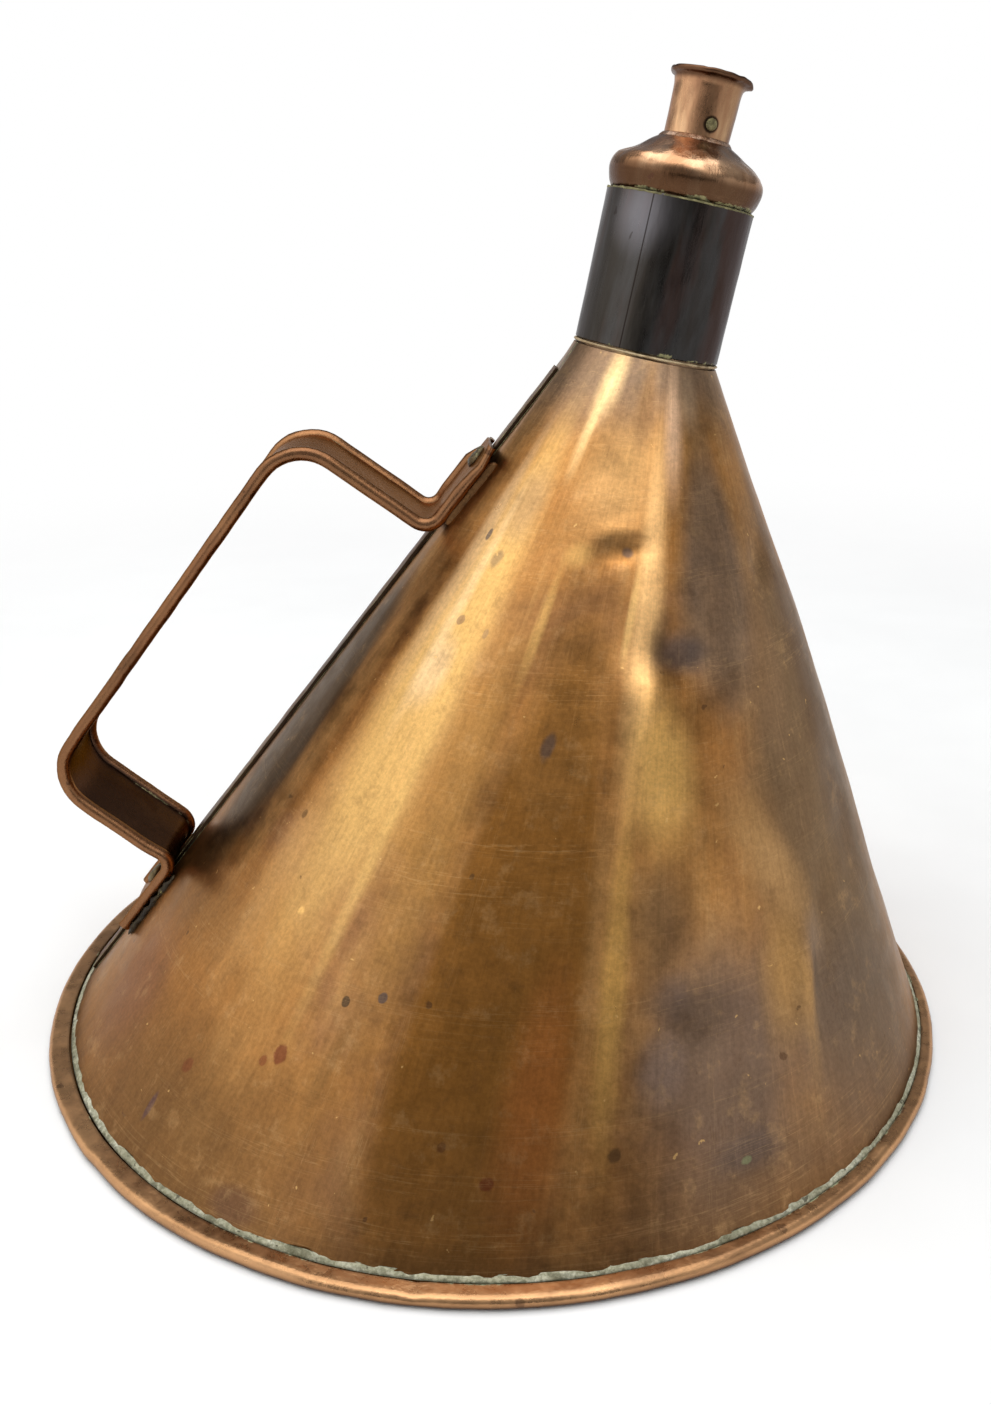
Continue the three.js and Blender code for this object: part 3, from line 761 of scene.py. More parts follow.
# %% Stains of the front and painted shade of the dents
FRONT_STAINS_AND_DENT_SHADE = [
    # Near the foot
    (27.8, 13.7, 0.9, 0.8, 0.0, 0.4, 0.8, (150, 158, 110), 0.8),
    (-40, 10, 30, 26, 0.0, 0.9, 0.3, (112, 82, 48), 0.6),
    (0, 2, 400, 34, 0.0, 0.95, 0.3, (112, 84, 60), 0.25),
    (0, 2, 400, 7, 0.0, 0.9, 0.6, DARK_BROWN, 0.45),
    # Painted shade in and under the dents, with a paler painted reflection in one of them
    (16, 57, 8, 12, 0.0, 0.9, 0.3, (106, 84, 64), 0.6),
    (16.5, 32, 4.5, 9, 0.0, 0.8, 0.4, (154, 130, 116), 0.6),
    (18, 43, 5, 6, 0.0, 0.8, 0.5, SLATE, 0.45),
    (28, 15, 7, 5, 0.0, 0.8, 0.5, SLATE, 0.35),
    (20, 101, 10, 5.5, -0.3, 0.75, 0.4, SLATE, 0.72),
    (14, 104, 4, 7, 0.2, 0.8, 0.4, (70, 56, 48), 0.5),
    # Single spots of the front; the slate one at 2 degrees and 119.5 mm is painted shade in a small dent
    (-8, 86, 1.8, 3.2, 0.1, 0.6, 0.6, SLATE, 0.6),
    (2, 119.5, 2.4, 1.2, -0.6, 0.6, 0.5, SLATE, 0.6),
    (-47, 121, 1.1, 1.3, 0.0, 0.35, 0.5, SLATE, 0.75),
    (-39, 117, 2.6, 2.0, 0.0, 0.6, 0.7, SLATE, 0.45),
    (-40, 105.5, 1.4, 1.0, 0.0, 0.3, 0.6, (120, 92, 80), 0.55),
    (-31, 104, 0.9, 1.1, 0.0, 0.4, 0.6, (128, 104, 84), 0.5),
    (-27, 41, 0.7, 1.0, 0.0, 0.3, 0.8, (66, 56, 46), 0.8),
    (-22, 43, 0.8, 1.1, 0.0, 0.3, 0.8, SLATE, 0.7),
    (-33, 30, 1.1, 1.9, 0.0, 0.3, 0.9, (118, 58, 42), 0.75),
    (-35, 28, 0.7, 1.0, 0.0, 0.3, 0.9, (128, 66, 46), 0.6),
    (-48, 12, 0.6, 3.2, 0.0, 0.5, 0.5, (84, 66, 74), 0.6),
    (-46, 21, 1.0, 1.6, 0.0, 0.4, 0.8, (122, 66, 44), 0.6),
    (-30, 6, 4.5, 4.0, 0.0, 0.6, 0.7, (92, 66, 56), 0.5),
    (11, 20, 0.9, 1.4, 0.0, 0.4, 0.8, DARK_BROWN, 0.8),
    (-41, 52, 0.8, 0.9, 0.0, 0.6, 0.9, (240, 190, 114), 0.75),
    (-3, 17, 0.9, 1.3, 0.0, 0.4, 0.9, (112, 52, 34), 0.7),
    (-9, 22, 0.7, 1.0, 0.0, 0.4, 0.9, (88, 52, 34), 0.6),
    (-15, 64, 0.5, 0.7, 0.0, 0.4, 0.8, DARK_BROWN, 0.7),
    (-52, 66, 0.8, 1.0, 0.0, 0.4, 0.8, DARK_BROWN, 0.7),
]
CONE_ZONES = [*FRONT_BANDS_AND_REFLECTIONS, *BACK_ZONES, *FRONT_STAINS_AND_DENT_SHADE]
print("zones on the cone:", len(CONE_ZONES))


# %% Lay the zones over a colour
SMALL_STAIN = 4.0


def zoned(tree, tint, where, place):
    """The colour of the cone under all its zones, of which the small ones have a finer edge."""
    for angle, height, half_angle, half_height, lean, softness, ragged, stain, weight in CONE_ZONES:
        mask = use(
            tree, zone, Layout=where, Place=place, Angle=angle, Height=height, Half_angle=half_angle,
            Half_height=half_height, Lean=lean, Softness=softness, Ragged=ragged,
            Grain=400.0 if half_angle < SMALL_STAIN else 45.0,
        )["Mask"]
        tint = overlaid(tree, tint, mask, weight, colour(*stain))
    return tint


# %% Stretched patterns and the shade and crust of the seam
def along_cone(tree, parts, across, up, start):
    """Layout stretched round and up the cone, for a pattern that follows the sheet."""
    return put(
        tree, "CombineXYZ",
        X=times(tree, parts["X"], across), Y=times(tree, parts["Y"], up), Z=start,
    ).outputs[0]


def seam_shade_and_crust(tree, tint, place, parts):
    """Painted shade and verdigris in the corners beside the lap of the seam."""
    side = axes_of(tree, stood(tree, side_frame))
    by_seam = magnitude(tree, minus(tree, magnitude(tree, side["Y"]), (SEAM_WIDTH / 2 + 0.3) * MM))
    on_side = count(tree, "LESS_THAN", parts["X"], -60.0)
    # Painted shade along both sides of the lap
    beside_lap_shade = times(tree, between(tree, by_seam, 0.3 * MM, 1.6 * MM, 1.0, 0.0), on_side)
    tint = overlaid(tree, tint, beside_lap_shade, 0.8, colour(50, 38, 28))
    in_corner = times(tree, between(tree, by_seam, 0.1 * MM, 0.5 * MM, 1.0, 0.0), on_side)
    crust = use(
        tree, verdigris, Place=place, Scale=420.0, Pale=colour(168, 160, 112),
        Where=times(tree, in_corner, 0.86),
    )
    return mixed(tree, crust["Mask"], tint, crust["Color"]), crust


# %% Cone copper
def cone_finish():
    material, tree = new_material("aged_cone_copper")
    where = layout(tree)
    parts = axes_of(tree, where)
    place = stood(tree)
    streaked = along_cone(tree, parts, 0.011, 0.0022, 0.3)
    brushed = along_cone(tree, parts, 0.03, 0.0009, 1.3)
    girth = along_cone(tree, parts, 0.0006, 0.016, 0.7)
    base = use(
        tree, patina, Place=place, Coarse=16.0, Fine=160.0, Contrast=0.8,
        Ground=colour(166, 114, 62), Worn=colour(186, 136, 80), Stained=colour(150, 108, 78),
    )
    tint = base["Color"]
    streak = grain(tree, streaked, 14.0, 5, 0.6)
    tint = mixed(tree, between(tree, streak, 0.5, 0.75, 0.0, 0.5), tint, colour(198, 150, 92))
    tint = mixed(tree, between(tree, streak, 0.5, 0.3, 0.0, 0.4), tint, colour(132, 88, 52))
    blot = grain(tree, place, 150.0, 6, 0.7)
    tint = zoned(tree, tint, where, place)
    speck = use(tree, spots, Place=place, Scale=90.0, Share=0.07, Size=0.1)
    tint = overlaid(tree, tint, speck["Mask"], 0.55, colour(92, 64, 46))
    tiny = use(tree, spots, Place=place, Scale=260.0, Share=0.1, Size=0.16)
    tint = overlaid(tree, tint, tiny["Mask"], 0.6, colour(86, 60, 44))
    darker = between(tree, blot, 0.52, 0.7, 0.0, 0.24)
    tint = mixed(tree, darker, tint, colour(94, 66, 44))
    paler = between(tree, blot, 0.46, 0.3, 0.0, 0.2)
    tint = mixed(tree, paler, tint, colour(214, 170, 116))
    glint = use(tree, spots, Place=place, Scale=380.0, Share=0.12, Size=0.14)
    tint = overlaid(tree, tint, glint["Mask"], 0.55, colour(232, 186, 118))
    lines = use(tree, scratches, Place=girth, Scale=60.0, Share=0.66)["Mask"]
    cross = use(tree, scratches, Place=brushed, Scale=60.0, Share=0.6)["Mask"]
    tint = overlaid(tree, tint, lines, 0.4, colour(224, 182, 126))
    tint = overlaid(tree, tint, cross, 0.4, colour(214, 170, 116))
    hair = grain(tree, brushed, 55.0, 4, 0.7)
    fine = grain(tree, place, 1100.0, 3, 0.7)
    shade = plus(tree, between(tree, hair, 0.3, 0.7, 0.42, 0.56), between(tree, fine, 0.3, 0.7, 0.4, 0.62))
    tint = shaded(tree, tint, shade)
    tint, crust = seam_shade_and_crust(tree, tint, place, parts)
    dull = between(tree, base["Cloud"], 0.3, 0.7, 0.25, 0.35)
    dull = plus(tree, dull, times(tree, streak, 0.06))
    dull = plus(tree, dull, times(tree, speck["Mask"], 0.15))
    dull = plus(tree, dull, times(tree, crust["Mask"], 0.4), clamp=True)
    height = times(tree, base["Cloud"], 0.1)
    for raised, weight in ((streak, 0.3), (blot, 0.1), (fine, 0.05), (crust["Mask"], 0.5)):
        height = plus(tree, height, times(tree, raised, weight))
    for sunk, weight in ((speck["Mask"], 0.12), (lines, 0.06), (cross, 0.04)):
        height = minus(tree, height, times(tree, sunk, weight))
    crusted_metal(tree, tint, dull, height, 0.35, crust, edge=(0.74, 0.69, 0.64, 1))
    return material


cone_copper = cone_finish()
print("cone finish with", len(cone_copper.node_tree.nodes), "nodes")

# %% [markdown]
# ## Finish of the seam's lap
# The face of the lap is brown, its stepped sides get a painted shade, and a pale line of solder shows
# along both of its corners.

# %% Lap copper
def lap_finish():
    material, tree = new_material("lap_copper")
    place = stood(tree, side_frame)
    base = use(
        tree, patina, Place=vectors(tree, "MULTIPLY", place, (0.3, 1, 1)), Coarse=70.0, Fine=300.0,
        Ground=colour(104, 74, 50), Worn=colour(132, 96, 62), Stained=colour(72, 56, 42),
    )
    beside = magnitude(tree, axes_of(tree, place)["Y"])
    # Painted shade on the stepped sides of the lap
    step = between(tree, beside, (SEAM_WIDTH / 2 - 0.5) * MM, (SEAM_WIDTH / 2 - 0.1) * MM)
    tint = mixed(tree, times(tree, step, 0.85), base["Color"], colour(40, 32, 26))
    line = magnitude(tree, minus(tree, beside, (SEAM_WIDTH / 2 - 0.55) * MM))
    crust = use(
        tree, verdigris, Place=place, Scale=380.0, Pale=colour(180, 170, 118), Deep=colour(96, 92, 58),
        Where=between(tree, line, 0.1 * MM, 0.5 * MM, 0.88, 0.0),
    )
    tint = mixed(tree, crust["Mask"], tint, crust["Color"])
    dull = dullness(tree, base, crust, 0.36, 0.5, 0.35)
    height = plus(tree, base["Cloud"], times(tree, crust["Height"], 0.8))
    crusted_metal(tree, tint, dull, height, 0.4, crust)
    return material


lap_copper = lap_finish()

# %% [markdown]
# ## Finish of the rim
# The folded edge is knocked and rubbed more than any other place. Along its outer edge the wear gets a
# painted highlight, and a painted shade darkens it where it nears the table and in the corner at the cone.
# These shares come from the distance to the axis and from the height, so they follow the form and need no
# painting by hand.

# %% Rim copper
def rim_finish():
    material, tree = new_material("worn_rim_copper")
    place = stood(tree)
    base = use(
        tree, patina, Place=place, Coarse=40.0, Fine=260.0,
        Ground=colour(170, 128, 90), Worn=colour(198, 152, 108), Stained=colour(134, 100, 72),
    )
    parts = axes_of(tree, place)
    flat = vectors(tree, "MULTIPLY", place, (1, 1, 0))
    radius = vectors(tree, "LENGTH", flat)
    from_cone = length_from(tree, flat, (FOOT_SHIFT * MM, 0, 0))
    # Painted highlight along the upper side of the rounded outer edge, over rubbed wear
    outer = between(tree, radius, (RIM_RADIUS - 1.35) * MM, (RIM_RADIUS - 0.45) * MM)
    upper = between(tree, parts["Z"], 0.4 * MM, 1.6 * MM)
    rubbed_and_highlight = times(tree, outer, upper)
    rubbed_and_highlight = times(tree, rubbed_and_highlight, between(tree, grain(tree, place, 120.0, 4), 0.3, 0.55, 0.35, 1.0))
    tint = mixed(tree, times(tree, rubbed_and_highlight, 0.5), base["Color"], colour(222, 170, 122))
    # Painted shade on the underside, where it nears the table
    under = between(tree, parts["Z"], 2.5 * MM, 0.8 * MM)
    tint = overlaid(tree, tint, under, 0.85, colour(82, 57, 42))
    # Painted shade in the corner at the cone, where the crust also lies
    corner = between(tree, from_cone, (FOOT_RADIUS + 0.9) * MM, (FOOT_RADIUS + 0.3) * MM)
    tint = overlaid(tree, tint, corner, 0.4, colour(70, 62, 46))
    crust = use(
        tree, verdigris, Place=place, Scale=520.0, Pale=colour(140, 144, 112), Where=times(tree, corner, 0.5),
    )
    tint = mixed(tree, crust["Mask"], tint, crust["Color"])
    speck = use(tree, spots, Place=place, Scale=240.0, Share=0.2, Size=0.25)
    tint = overlaid(tree, tint, speck["Mask"], 0.5, colour(76, 54, 44))
    height = plus(tree, base["Cloud"], times(tree, crust["Mask"], 0.6))
    dull = dullness(tree, base, crust, 0.24, 0.38)
    crusted_metal(tree, tint, dull, height, 0.3, crust)
    return material


rim_copper = rim_finish()

# %% [markdown]
# ## Finish of the head and the spout
# The head and the spout are the warmest copper of the still. Cleaning has brushed them round. A painted shade
# darkens the head below its shoulder, the right side of both, the underside of the spout's lip and a ring
# round the pin. The two finishes differ only in a few values, so one function makes both. Its heights are
# measured along the leaning axis of the head.

# %% Head copper
PIN_HEIGHT = 14.5
PIN_SIDE = 0.25
PIN_PLACE = tuple((Matrix.Rotation(NECK_LEAN, 4, "Z") @ Vector((PIN_SIDE, -6.8, PIN_HEIGHT))) * MM)


def head_finish(name, ground, worn, stained, shaded_up_to, clear_from, dull_low, dull_high, ashen, right_side_shade):
    """Copper with a painted shade up to a height in millimetres, ashen near the spout, and a painted shade on
    its right.
    """
    material, tree = new_material(name)
    place = stood(tree, head_frame)
    streaked = vectors(tree, "MULTIPLY", place, (1, 1, 0.3))
    base = use(
        tree, patina, Place=streaked, Coarse=75.0, Fine=420.0, Ground=ground, Worn=worn, Stained=stained,
    )
    parts = axes_of(tree, place)
    tint = base["Color"]
    # Painted shade below the shoulder of the head
    shade_below = between(tree, parts["Z"], shaded_up_to * MM, clear_from * MM, 1.0, 0.0)
    tint = overlaid(tree, tint, shade_below, 0.9, colour(70, 46, 30))
    lines = use(
        tree, scratches, Place=vectors(tree, "MULTIPLY", place, (0.25, 0.25, 3)), Scale=260.0, Share=0.6,
    )["Mask"]
    tint = overlaid(tree, tint, lines, 0.3, colour(226, 184, 144))
    speck = use(tree, spots, Place=place, Scale=330.0, Share=0.18, Size=0.22)
    tint = overlaid(tree, tint, speck["Mask"], 0.6, colour(84, 56, 44))
    near_spout = between(tree, parts["Z"], 7.2 * MM, 9.8 * MM, 0.0, ashen)
    tint = mixed(tree, near_spout, tint, colour(104, 82, 72))
    # Painted shade on the right side
    right_shade = between(tree, parts["X"], -2.4 * MM, -0.2 * MM, 1.08, right_side_shade)
    tint = shaded(tree, tint, right_shade)
    # Painted shade under the turned-out lip of the spout
    lip = between(tree, parts["Z"], 21.8 * MM, 22.8 * MM, 0.0, 0.85)
    tint = mixed(tree, lip, tint, colour(74, 50, 36))
    # Painted shade round the pin, as a dark socket
    around_pin = length_from(tree, place, PIN_PLACE)
    socket = between(tree, around_pin, 1.4 * MM, 1.8 * MM, 0.9, 0.0)
    tint = mixed(tree, socket, tint, colour(34, 26, 20))
    foot = between(tree, magnitude(tree, parts["Z"]), 0.4 * MM, 1.6 * MM, 1.0, 0.0)
    crust = use(
        tree, verdigris, Place=place, Scale=620.0, Pale=colour(160, 150, 104), Where=times(tree, foot, 0.62),
    )
    tint = mixed(tree, crust["Mask"], tint, crust["Color"])
    dull = dullness(tree, base, crust, dull_low, dull_high)
    height = minus(tree, base["Cloud"], times(tree, speck["Mask"], 0.3))
    crusted_metal(tree, tint, dull, height, 0.25, crust)
    return material


# %% Copper of the head and of the spout
head_copper = head_finish(
    "warm_head_copper",
    ground=colour(174, 130, 96), worn=colour(226, 184, 146), stained=colour(126, 92, 70),
    shaded_up_to=3.5, clear_from=6.8, dull_low=0.2, dull_high=0.32, ashen=0.55, right_side_shade=0.94,
)
spout_copper = head_finish(
    "warm_spout_copper",
    ground=colour(178, 132, 98), worn=colour(228, 186, 142), stained=colour(118, 82, 62),
    shaded_up_to=-3.0, clear_from=-1.0, dull_low=0.24, dull_high=0.36, ashen=0.0, right_side_shade=0.62,
)

# %% [markdown]
# ## Finish of the handle
# The strap is warm brown, with painted light on its outer side and painted shade on the side towards the
# cone, and is polished by hands along its rolled beads. Painted shade and crust lie in the grooves beside the
# beads.
# Object coordinates don't follow a bent strip, so the place across the strap is read from its layout, and the
# inner side from an attribute that is written when the strap is shaped.

# %% Handle copper
def handle_finish():
    material, tree = new_material("aged_handle_copper")
    place = stood(tree, side_frame)
    streaked = vectors(tree, "MULTIPLY", place, (0.6, 1, 1))
    base = use(
        tree, patina, Place=streaked, Coarse=60.0, Fine=900.0, Contrast=0.9,
        Ground=colour(122, 88, 60), Worn=colour(150, 110, 76), Stained=colour(92, 66, 48),
    )
    where = layout(tree)
    lie = axes_of(tree, where)
    beside = magnitude(tree, lie["X"])
    bead = between(tree, beside, 9.4, 10.2)
    rub = between(tree, grain(tree, streaked, 130.0, 4), 0.3, 0.6, 0.3, 1.0)
    inner = put(tree, "Attribute", {"attribute_name": "inner_face"}).outputs["Fac"]
    # Painted light on the outer face of the web, and painted shade on the side towards the cone
    outer = times(tree, between(tree, inner, 0.05, 0.3, 0.5, 0.0), minus(tree, 1.0, bead))
    tint = mixed(tree, outer, base["Color"], colour(172, 118, 76))
    tint = overlaid(tree, tint, inner, 0.85, colour(58, 43, 40))
    tint = overlaid(tree, tint, times(tree, bead, rub), 0.6, colour(142, 98, 68))
    # Painted shade in the grooves beside the beads, where the crust also lies
    corner = between(tree, magnitude(tree, minus(tree, beside, 9.3)), 0.1, 0.5, 1.0, 0.0)
    tint = overlaid(tree, tint, corner, 0.25, colour(56, 44, 34))
    crust = use(
        tree, verdigris, Place=place, Scale=520.0, Pale=colour(168, 160, 120),
        Where=times(tree, corner, 0.58),
    )
    tint = mixed(tree, crust["Mask"], tint, crust["Color"])
    speck = use(tree, spots, Place=place, Scale=260.0, Share=0.15, Size=0.25)
    tint = overlaid(tree, tint, speck["Mask"], 0.6, colour(66, 46, 38))
    dull = dullness(tree, base, crust, 0.22, 0.36)
    height = plus(tree, base["Cloud"], times(tree, crust["Mask"], 0.6))
    crusted_metal(tree, tint, dull, height, 0.15, crust, edge=(0.5, 0.42, 0.36, 1))
    return material


handle_copper = handle_finish()

# %% [markdown]
# ## Finish of the neck tube
# The tube has gone nearly black. Its patina is drawn out along it, as wiping leaves it, with rusty clouds and
# pale crumbs at both ends. A painted blue-grey highlight sits high on its left, and a painted reflection
# makes it lighter on the left and darker on the right. The thin dark line down its front is the tube's own
# seam, 28 degrees left of the middle. A plain black paint would look like plastic, so the tube stays a metal.

# %% Dark tube
LEFT_HIGHLIGHT_PLACE = tuple(Vector((-8.5, -12.5, 26.5)) * MM)


def tube_finish():
    material, tree = new_material("blackened_tube_copper")
    place = stood(tree, neck_frame)
    upright = vectors(tree, "MULTIPLY", place, (1, 1, 0.18))
    base = use(
        tree, patina, Place=upright, Coarse=60.0, Fine=420.0,
        Ground=colour(52, 48, 44), Worn=colour(76, 75, 75), Stained=colour(52, 45, 39),
    )
    parts = axes_of(tree, place)
    low_end = between(tree, parts["Z"], 2.2 * MM, 0.6 * MM)
    high_end = between(tree, parts["Z"], (NECK_TOP - 1.2) * MM, (NECK_TOP - 0.2) * MM)
    ends = count(tree, "MAXIMUM", low_end, high_end)
    crust = use(
        tree, verdigris, Place=place, Scale=640.0, Pale=colour(150, 142, 100), Where=times(tree, ends, 0.5),
    )
    rusty = between(tree, grain(tree, upright, 110.0, 4), 0.45, 0.65, 0.0, 0.5)
    tint = mixed(tree, rusty, base["Color"], colour(74, 46, 36))
    # Painted highlight high on the left of the tube
    from_highlight = length_from(tree, place, LEFT_HIGHLIGHT_PLACE)
    tint = mixed(tree, between(tree, from_highlight, 1 * MM, 10 * MM, 0.5, 0.0), tint, colour(122, 119, 124))
    # Painted reflection: lighter on the left, darker on the right
    sheen = between(tree, parts["X"], -9 * MM, 6 * MM, 1.35, 0.72)
    tint = shaded(tree, tint, sheen)
    from_seam = plus(tree, times(tree, parts["X"], 0.88), times(tree, parts["Y"], -0.47))
    fore = count(tree, "LESS_THAN", parts["Y"], 0.0)
    seam = between(tree, magnitude(tree, from_seam), 0.06 * MM, 0.22 * MM, 0.8, 0.0)
    seam = times(tree, seam, fore)
    tint = mixed(tree, seam, tint, colour(34, 26, 22))
    tint = mixed(tree, crust["Mask"], tint, crust["Color"])
    speck = use(tree, spots, Place=place, Scale=300.0, Share=0.15, Size=0.22)
    tint = overlaid(tree, tint, speck["Mask"], 0.5, colour(48, 38, 32))
    dull = dullness(tree, base, crust, 0.24, 0.38)
    height = plus(tree, base["Cloud"], times(tree, crust["Mask"], 0.5))
    crusted_metal(tree, tint, dull, height, 0.15, crust)
    return material


dark_tube = tube_finish()

# %% [markdown]
# ## Finishes of the solder, the rivets, the pin and the wires
# Old solder ends black, brown or chalky, and the small fittings are crusted too. All of them have the same
# build, a patina with crumbs over it. So one function takes their colours, the scale of the grain, how
# metallic they are, the roughness and how much crust they carry.

# %% Solder, rivets, pin and wire
def crusted_finish(
    name, ground, worn, stained, scale, metallic, dull_low, dull_high, crusted, pale=colour(168, 160, 118),
):
    """A metal or solder with crumbs of crust over a share of it."""
    material, tree = new_material(name)
    place = stood(tree)
    base = use(
        tree, patina, Place=place, Coarse=scale, Fine=scale * 5, Ground=ground, Worn=worn, Stained=stained,
    )
    patchy = between(tree, grain(tree, place, scale * 1.5, 4), 0.35, 0.65, 0.0, crusted)
    crust = use(
        tree, verdigris, Place=place, Scale=scale * 4, Where=patchy, Pale=pale, Deep=colour(72, 70, 46),
    )
    tint = mixed(tree, crust["Mask"], base["Color"], crust["Color"])
    dull = dullness(tree, base, crust, dull_low, dull_high, 0.3)
    height = plus(tree, base["Cloud"], times(tree, crust["Height"], 0.8))
    covered = times(tree, minus(tree, 1.0, crust["Mask"]), metallic)
    metal_surface(tree, tint, dull, height, 0.6, covered)
    return material


# %% Small finishes
black_solder_finish = crusted_finish(
    "black_solder", ground=colour(54, 46, 34), worn=colour(88, 76, 48), stained=colour(36, 30, 24),
    scale=160.0, metallic=0.5, dull_low=0.4, dull_high=0.65, crusted=0.5, pale=colour(150, 142, 84),
)
brown_solder_finish = crusted_finish(
    "brown_solder", ground=colour(112, 80, 50), worn=colour(138, 102, 64), stained=colour(72, 54, 38),
    scale=160.0, metallic=0.9, dull_low=0.35, dull_high=0.5, crusted=0.25,
)
tan_solder_finish = crusted_finish(
    "tan_solder", ground=colour(176, 152, 116), worn=colour(208, 188, 152), stained=colour(118, 98, 72),
    scale=220.0, metallic=0.6, dull_low=0.4, dull_high=0.6, crusted=0.4,
)
edge_crust_finish = crusted_finish(
    "edge_crust", ground=colour(112, 106, 70), worn=colour(158, 150, 106), stained=colour(72, 66, 42),
    scale=300.0, metallic=0.0, dull_low=0.6, dull_high=0.8, crusted=0.4,
)
band_solder_finish = crusted_finish(
    "band_solder", ground=colour(138, 104, 80), worn=colour(190, 160, 138), stained=colour(96, 72, 56),
    scale=300.0, metallic=1.0, dull_low=0.24, dull_high=0.36, crusted=0.15,
)
rivet_finish = crusted_finish(
    "rivet_copper", ground=colour(86, 76, 58), worn=colour(124, 110, 80), stained=colour(56, 54, 44),
    scale=260.0, metallic=0.9, dull_low=0.32, dull_high=0.5, crusted=0.55, pale=colour(140, 140, 100),
)
pin_finish = crusted_finish(
    "pin_brass", ground=colour(126, 118, 82), worn=colour(170, 160, 116), stained=colour(72, 66, 48),
    scale=600.0, metallic=0.7, dull_low=0.35, dull_high=0.55, crusted=0.4,
)
wire_finish = crusted_finish(
    "wire_iron", ground=colour(74, 68, 64), worn=colour(96, 88, 82), stained=colour(58, 46, 38),
    scale=300.0, metallic=0.9, dull_low=0.5, dull_high=0.7, crusted=0.2,
)

# %% [markdown]
# ## Finish of the solder at the foot
# The ring at the foot of the cone is the palest solder, chalky and pitted, with a painted shade along its
# lower edge. That edge lies at one height, so this finish reads the height and has a function of its own.

# %% Crusted solder of the foot
def foot_solder():
    material, tree = new_material("foot_solder")
    place = stood(tree)
    base = use(
        tree, patina, Place=place, Coarse=120.0, Fine=700.0,
        Ground=colour(172, 169, 143), Worn=colour(212, 210, 188), Stained=colour(104, 100, 76),
    )
    high = axes_of(tree, place)["Z"]
    ragged = times(tree, minus(tree, grain(tree, place, 900.0, 3), 0.5), 1.4 * MM)
    # Painted shade along the lower edge of the ring
    low = between(tree, plus(tree, high, ragged), 3.2 * MM, 2.8 * MM, 0.0, 0.6)
    tint = mixed(tree, low, base["Color"], colour(44, 40, 28))
    crumbs = between(tree, grain(tree, place, 1300.0, 4, 0.7), 0.42, 0.58, 0.45, 0.0)
    tint = mixed(tree, crumbs, tint, colour(90, 90, 60))
    pits = use(tree, spots, Place=place, Scale=500.0, Share=0.3, Size=0.3)["Mask"]
    tint = overlaid(tree, tint, pits, 0.7, colour(58, 52, 38))
    height = minus(tree, grain(tree, place, 700.0, 5, 0.65), times(tree, pits, 0.4))
    metal_surface(tree, tint, between(tree, base["Cloud"], 0.3, 0.7, 0.5, 0.75), height, 0.6, 0.2)
    return material


foot_solder_finish = foot_solder()
print("materials:", [material.name for material in bpy.data.materials])

# %% [markdown]
# ## The cone
# On the real still the cone is one sheet, rolled and joined along the handle side, with its foot turned out
# under the folded base. It starts here as a straight cone, its upright edges are cut into many short lengths,
# and each corner is then carried to its place on the oblique cone. A bulge on the right and the dents of a
# long life are pushed in afterwards, and a Solidify modifier gives the sheet its thickness on the inside.

# %% Places on the oblique cone
CONE_FACETS = 288
CONE_ROWS = 96
ROUGH_HEIGHT = 150


def on_neck(turn_angle, radius, along):
    """Place at an angle, a radius and a height in the leaning frame of the neck."""
    local = np.stack([
        radius * np.cos(turn_angle),
        radius * np.sin(turn_angle),
        np.full_like(turn_angle, along),
        np.ones_like(turn_angle),
    ])
    return (np.array(neck_frame) @ local)[:3].T


def on_cone(turn_angle, share):
    """Place at an angle, a share of the way from the foot (0) to the mouth (1)."""
    foot = np.column_stack([
        FOOT_SHIFT + FOOT_RADIUS * np.cos(turn_angle),
        FOOT_RADIUS * np.sin(turn_angle),
        np.full_like(turn_angle, FOOT_HEIGHT),
    ])
    mouth = on_neck(turn_angle, MOUTH_RADIUS, MOUTH_SHOULDER)
    throat_share = throat_station / side_length
    throat = foot + (mouth - foot) * throat_share
    stands = (throat - np.array(side_foot)) @ side_out
    throat = throat - np.maximum(stands, 0)[:, None] * side_out
    lower = np.minimum(share / throat_share, 1)[:, None]
    upper = np.maximum((share - throat_share) / (1 - throat_share), 0)[:, None]
    return foot + (throat - foot) * lower + (mouth - throat) * upper


# %% Rough cone with many rows
rest()
bpy.ops.mesh.primitive_cone_add(
    vertices=CONE_FACETS, radius1=FOOT_RADIUS * MM, radius2=MOUTH_RADIUS * MM, depth=ROUGH_HEIGHT * MM,
    end_fill_type="NOTHING", location=(0, 0, ROUGH_HEIGHT / 2 * MM),
)
cone = named("cone_sheet")
bpy.ops.object.transform_apply(location=True)
bpy.ops.object.mode_set(mode="EDIT")
choose_long_edges(cone, 2, ROUGH_HEIGHT / 2)
bpy.ops.mesh.subdivide(number_cuts=CONE_ROWS - 1)
bpy.ops.mesh.select_mode(type="VERT")
bpy.ops.mesh.select_all(action="SELECT")
bpy.ops.mesh.normals_make_consistent(inside=False)
rest()
print("rows of the cone:", CONE_ROWS, "corners:", len(cone.data.vertices))

# %% [markdown]
# A dent is given by its angle, its height, its depth and its half sizes round and up the cone. A negative
# depth is a ridge. The lean turns a crease so that it runs aslant.

